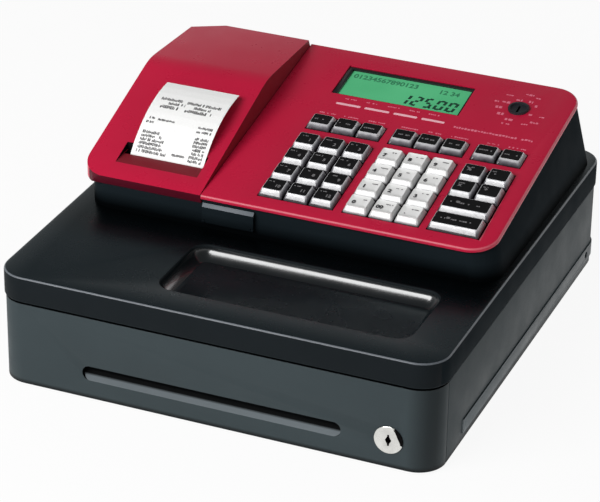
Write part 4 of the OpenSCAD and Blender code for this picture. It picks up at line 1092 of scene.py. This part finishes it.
# Turned profile from the barrel to the keyhole: radius and height, then how far the stop
# notch lowers a ring and draws it in.
BARREL = [(8.5, -16.0), (8.5, -0.85)]
HEAD = [(10.35, -0.85), (10.35, -0.3), (10.1, -0.06)]
NOTCH_FLOOR = [(10.05, -0.06, 0.7), (9.0, -0.14, 0.6, 1.8)]
DOME = [(8.9, -0.14, 0, 1.8), (7.3, -0.02, 0, 0.45), (6.8, -0.02), (6.6, -0.08), (6.2, -0.08),
        (6.0, 0.0)]
CAM, CAM_FOOT, CAM_TOP = [(-13, -4), (0, -4), (0, 4), (-13, 4)], -15.95, -13.5


def lock_ring(r, z, dip=0.0, pull=0.0):
    """Circle on the lock's face; dip lowers it and pull draws it in along the stop notch."""
    ring = []
    for i in range(LOCK_STEPS):
        turn = 360 * i / LOCK_STEPS
        turn -= 360 if turn > 180 else 0
        share = (turn - NOTCH[0]) / (NOTCH[1] - NOTCH[0])
        inside = 0 < share < 1
        radius = r - (pull * math.sin(math.pi * share) if inside else 0)
        a = math.radians(turn)
        ring.append((radius * math.cos(a), radius * math.sin(a), z - (dip if inside else 0)))
    return ring


def keyhole_ring(z):
    """Keyhole outline: an upright slot through a lozenge."""
    ring = []
    for i in range(LOCK_STEPS):
        a = 2 * math.pi * i / LOCK_STEPS
        c, s = abs(math.cos(a)), abs(math.sin(a))
        slot = min(KEYHOLE_SLOT / max(c, 1e-6), KEYHOLE_HIGH / max(s, 1e-6))
        r = max(1 / (c / KEYHOLE_WIDE + s / KEYHOLE_HIGH), slot)
        ring.append((r * math.cos(a), r * math.sin(a), z))
    return ring


def lock():
    """Turned lock plug: chromed head with a stop notch and a groove, keyhole, barrel and cam. The
    notch and the keyhole are painted black as shade.
    """
    bm = bmesh.new()
    barrel, head, notch, dome = (
        [lock_ring(*step) for step in steps] for steps in (BARREL, HEAD, NOTCH_FLOOR, DOME)
    )
    hole = [keyhole_ring(0.0), keyhole_ring(-KEYHOLE_DEEP)]
    loft(bm, barrel + head, 0, close_top=False)
    loft(bm, head[-1:] + notch + dome[:1], 1, close_top=False, close_bottom=False)
    loft(bm, dome + hole[:1], 0, close_top=False, close_bottom=False)
    loft(bm, hole, 1, close_bottom=False)
    bmesh.ops.remove_doubles(bm, verts=bm.verts, dist=WELD)
    # Painted shade: faces in the stop notch and the keyhole stay black, the rest of the head is
    # chrome.
    for face in bm.faces:
        centre = face.calc_center_median()
        turn = math.degrees(math.atan2(centre.y, centre.x))
        inside = NOTCH[0] < turn < NOTCH[1]
        if inside and centre.z > NOTCH_WALL_Z and centre.xy.length > NOTCH_WALL_R:
            face.material_index = 1
        elif not inside and face.material_index and centre.xy.length > CHROME_R:
            face.material_index = 0
    plate(bm, CAM, CAM_FOOT, CAM_TOP)
    place = Matrix.Translation((LOCK_X, FRONT_Y, LOCK_Z))
    place = place @ Matrix.Rotation(math.radians(90), 4, "X")
    piece("lock_turned", bm, [CHROME, KEYHOLE_SHADE], BODY_OF["lock_plug"], place, ("lock_plug",))


lock()

WINDOW_PLACE, WINDOW_TILT = (48, 157.378, 115.869), math.radians(22.27)
WINDOW_CORNER = 2.8
WINDOW_RINGS = ((45.8, 11.8, -1.36), (45.8, 11.8, -0.9), (45.4, 11.4, -0.6))


def rear_window():
    """Dark window in the recess of the case's back, over the customer's amounts."""
    place = Matrix.Translation(WINDOW_PLACE) @ Matrix.Rotation(WINDOW_TILT, 4, "X")
    place = place @ Matrix.Rotation(math.radians(-90), 4, "X")
    bm = bmesh.new()
    loft(bm, [[(x, y, z) for x, y in outline(-half, half, -high, high, WINDOW_CORNER)]
              for half, high, z in WINDOW_RINGS])
    piece("rear_window", bm, [DARK_GLASS], BODY_OF["register_case"], place)


rear_window()

# ---------------------------------------------------------------- stage, lights, camera

FLOOR_SIZE, FLOOR_WHITE, FLOOR_SHARE = 4.0, 0.93, 0.92
SKY = [(0.0, 0.75), (0.25, 0.5), (0.45, 0.3), (0.62, 0.13), (1.0, 0.1)]
LAMP_TARGET = (0, 0, 0.08)

# The camera that was fitted to the photograph: angles in radians, the rest in mm.
AZ, EL, ROLL_TURN = 0.3885334725, 0.4807827251, 0.0159337095
TARGET, DISTANCE = Vector((0.9019, -24.8886, 64.0128)), 2011.195
LENS, SENSOR = 167.284, 36.0


def floor_material():
    """Pale floor: the camera sees it near white, and it keeps the object's shadow."""
    n = Nodes("floor_pale")
    n.shader(Base_Color=(FLOOR_WHITE, FLOOR_WHITE, FLOOR_WHITE, 1.0), Roughness=0.9)
    white = n.add("ShaderNodeEmission")
    white.inputs["Strength"].default_value = 1.0
    mixed = n.add("ShaderNodeMixShader")
    path = n.add("ShaderNodeLightPath")
    rays = path.outputs["Is Camera Ray"]
    for name in ("Is Glossy Ray", "Is Transmission Ray"):
        either = n.add("ShaderNodeMath", operation="MAXIMUM")
        n.link(rays, either.inputs[0])
        n.link(path.outputs[name], either.inputs[1])
        rays = either.outputs[0]
    n.link(n.spread(rays, 0.0, 1.0, 0.0, FLOOR_SHARE), mixed.inputs[0])
    n.link(n.bsdf.outputs[0], mixed.inputs[1])
    n.link(white.outputs[0], mixed.inputs[2])
    n.link(mixed.outputs[0], n.tree.nodes["Material Output"].inputs["Surface"])
    return n.mat


def floor():
    """Flat square under the object."""
    bm = bmesh.new()
    bmesh.ops.create_grid(bm, x_segments=1, y_segments=1, size=FLOOR_SIZE)
    mesh = bpy.data.meshes.new("floor")
    bm.to_mesh(mesh)
    bm.free()
    mesh.materials.append(floor_material())
    obj = bpy.data.objects.new("floor", mesh)
    bpy.context.scene.collection.objects.link(obj)


def sky():
    """White world light, strong from below and from the horizon, weak from overhead."""
    world = bpy.data.worlds.new("studio")
    bpy.context.scene.world = world
    world.use_nodes = True
    tree = world.node_tree
    background = tree.nodes["Background"]
    background.inputs["Color"].default_value = (1, 1, 1, 1)
    direction = tree.nodes.new("ShaderNodeTexCoord")
    height = tree.nodes.new("ShaderNodeSeparateXYZ")
    tree.links.new(direction.outputs["Generated"], height.inputs["Vector"])
    ramp = tree.nodes.new("ShaderNodeValToRGB")
    fill_ramp(ramp, [(place, (value, value, value, 1.0)) for place, value in SKY])
    tree.links.new(height.outputs["Z"], ramp.inputs["Fac"])
    tree.links.new(ramp.outputs["Color"], background.inputs["Strength"])


def lamp(name, place, size, power):
    """Rectangular lamp that points at the object."""
    data = bpy.data.lights.new(name, "AREA")
    data.shape = "RECTANGLE"
    data.size, data.size_y = size
    data.energy = power
    obj = bpy.data.objects.new(name, data)
    obj.location = place
    obj.rotation_mode = "QUATERNION"
    obj.rotation_quaternion = (Vector(LAMP_TARGET) - Vector(place)).to_track_quat("-Z", "Y")
    bpy.context.scene.collection.objects.link(obj)


def camera():
    """Camera at the photograph's place, turned about its own axis last."""
    back = Vector((math.sin(AZ) * math.cos(EL), -math.cos(AZ) * math.cos(EL), math.sin(EL)))
    right = Vector((math.cos(AZ), math.sin(AZ), 0))
    up = back.cross(right)
    c, s = math.cos(ROLL_TURN), math.sin(ROLL_TURN)
    right, up = right * c + up * s, up * c - right * s
    data = bpy.data.cameras.new("camera")
    data.sensor_width = SENSOR
    data.lens = LENS
    data.clip_start, data.clip_end = 0.05, 50.0
    obj = bpy.data.objects.new("camera", data)
    turn = Matrix((right, up, back)).transposed().to_4x4()
    obj.matrix_world = Matrix.Translation((TARGET + back * DISTANCE) * MM) @ turn
    bpy.context.scene.collection.objects.link(obj)
    bpy.context.scene.camera = obj


floor()
sky()
lamp("key_light", (-0.66, -1.4, 1.15), (1.4, 0.8), 33.0)
lamp("rim_light", (0.85, 1.46, 0.72), (1.3, 0.5), 4.0)
camera()
bpy.context.scene.view_settings.view_transform = "Standard"
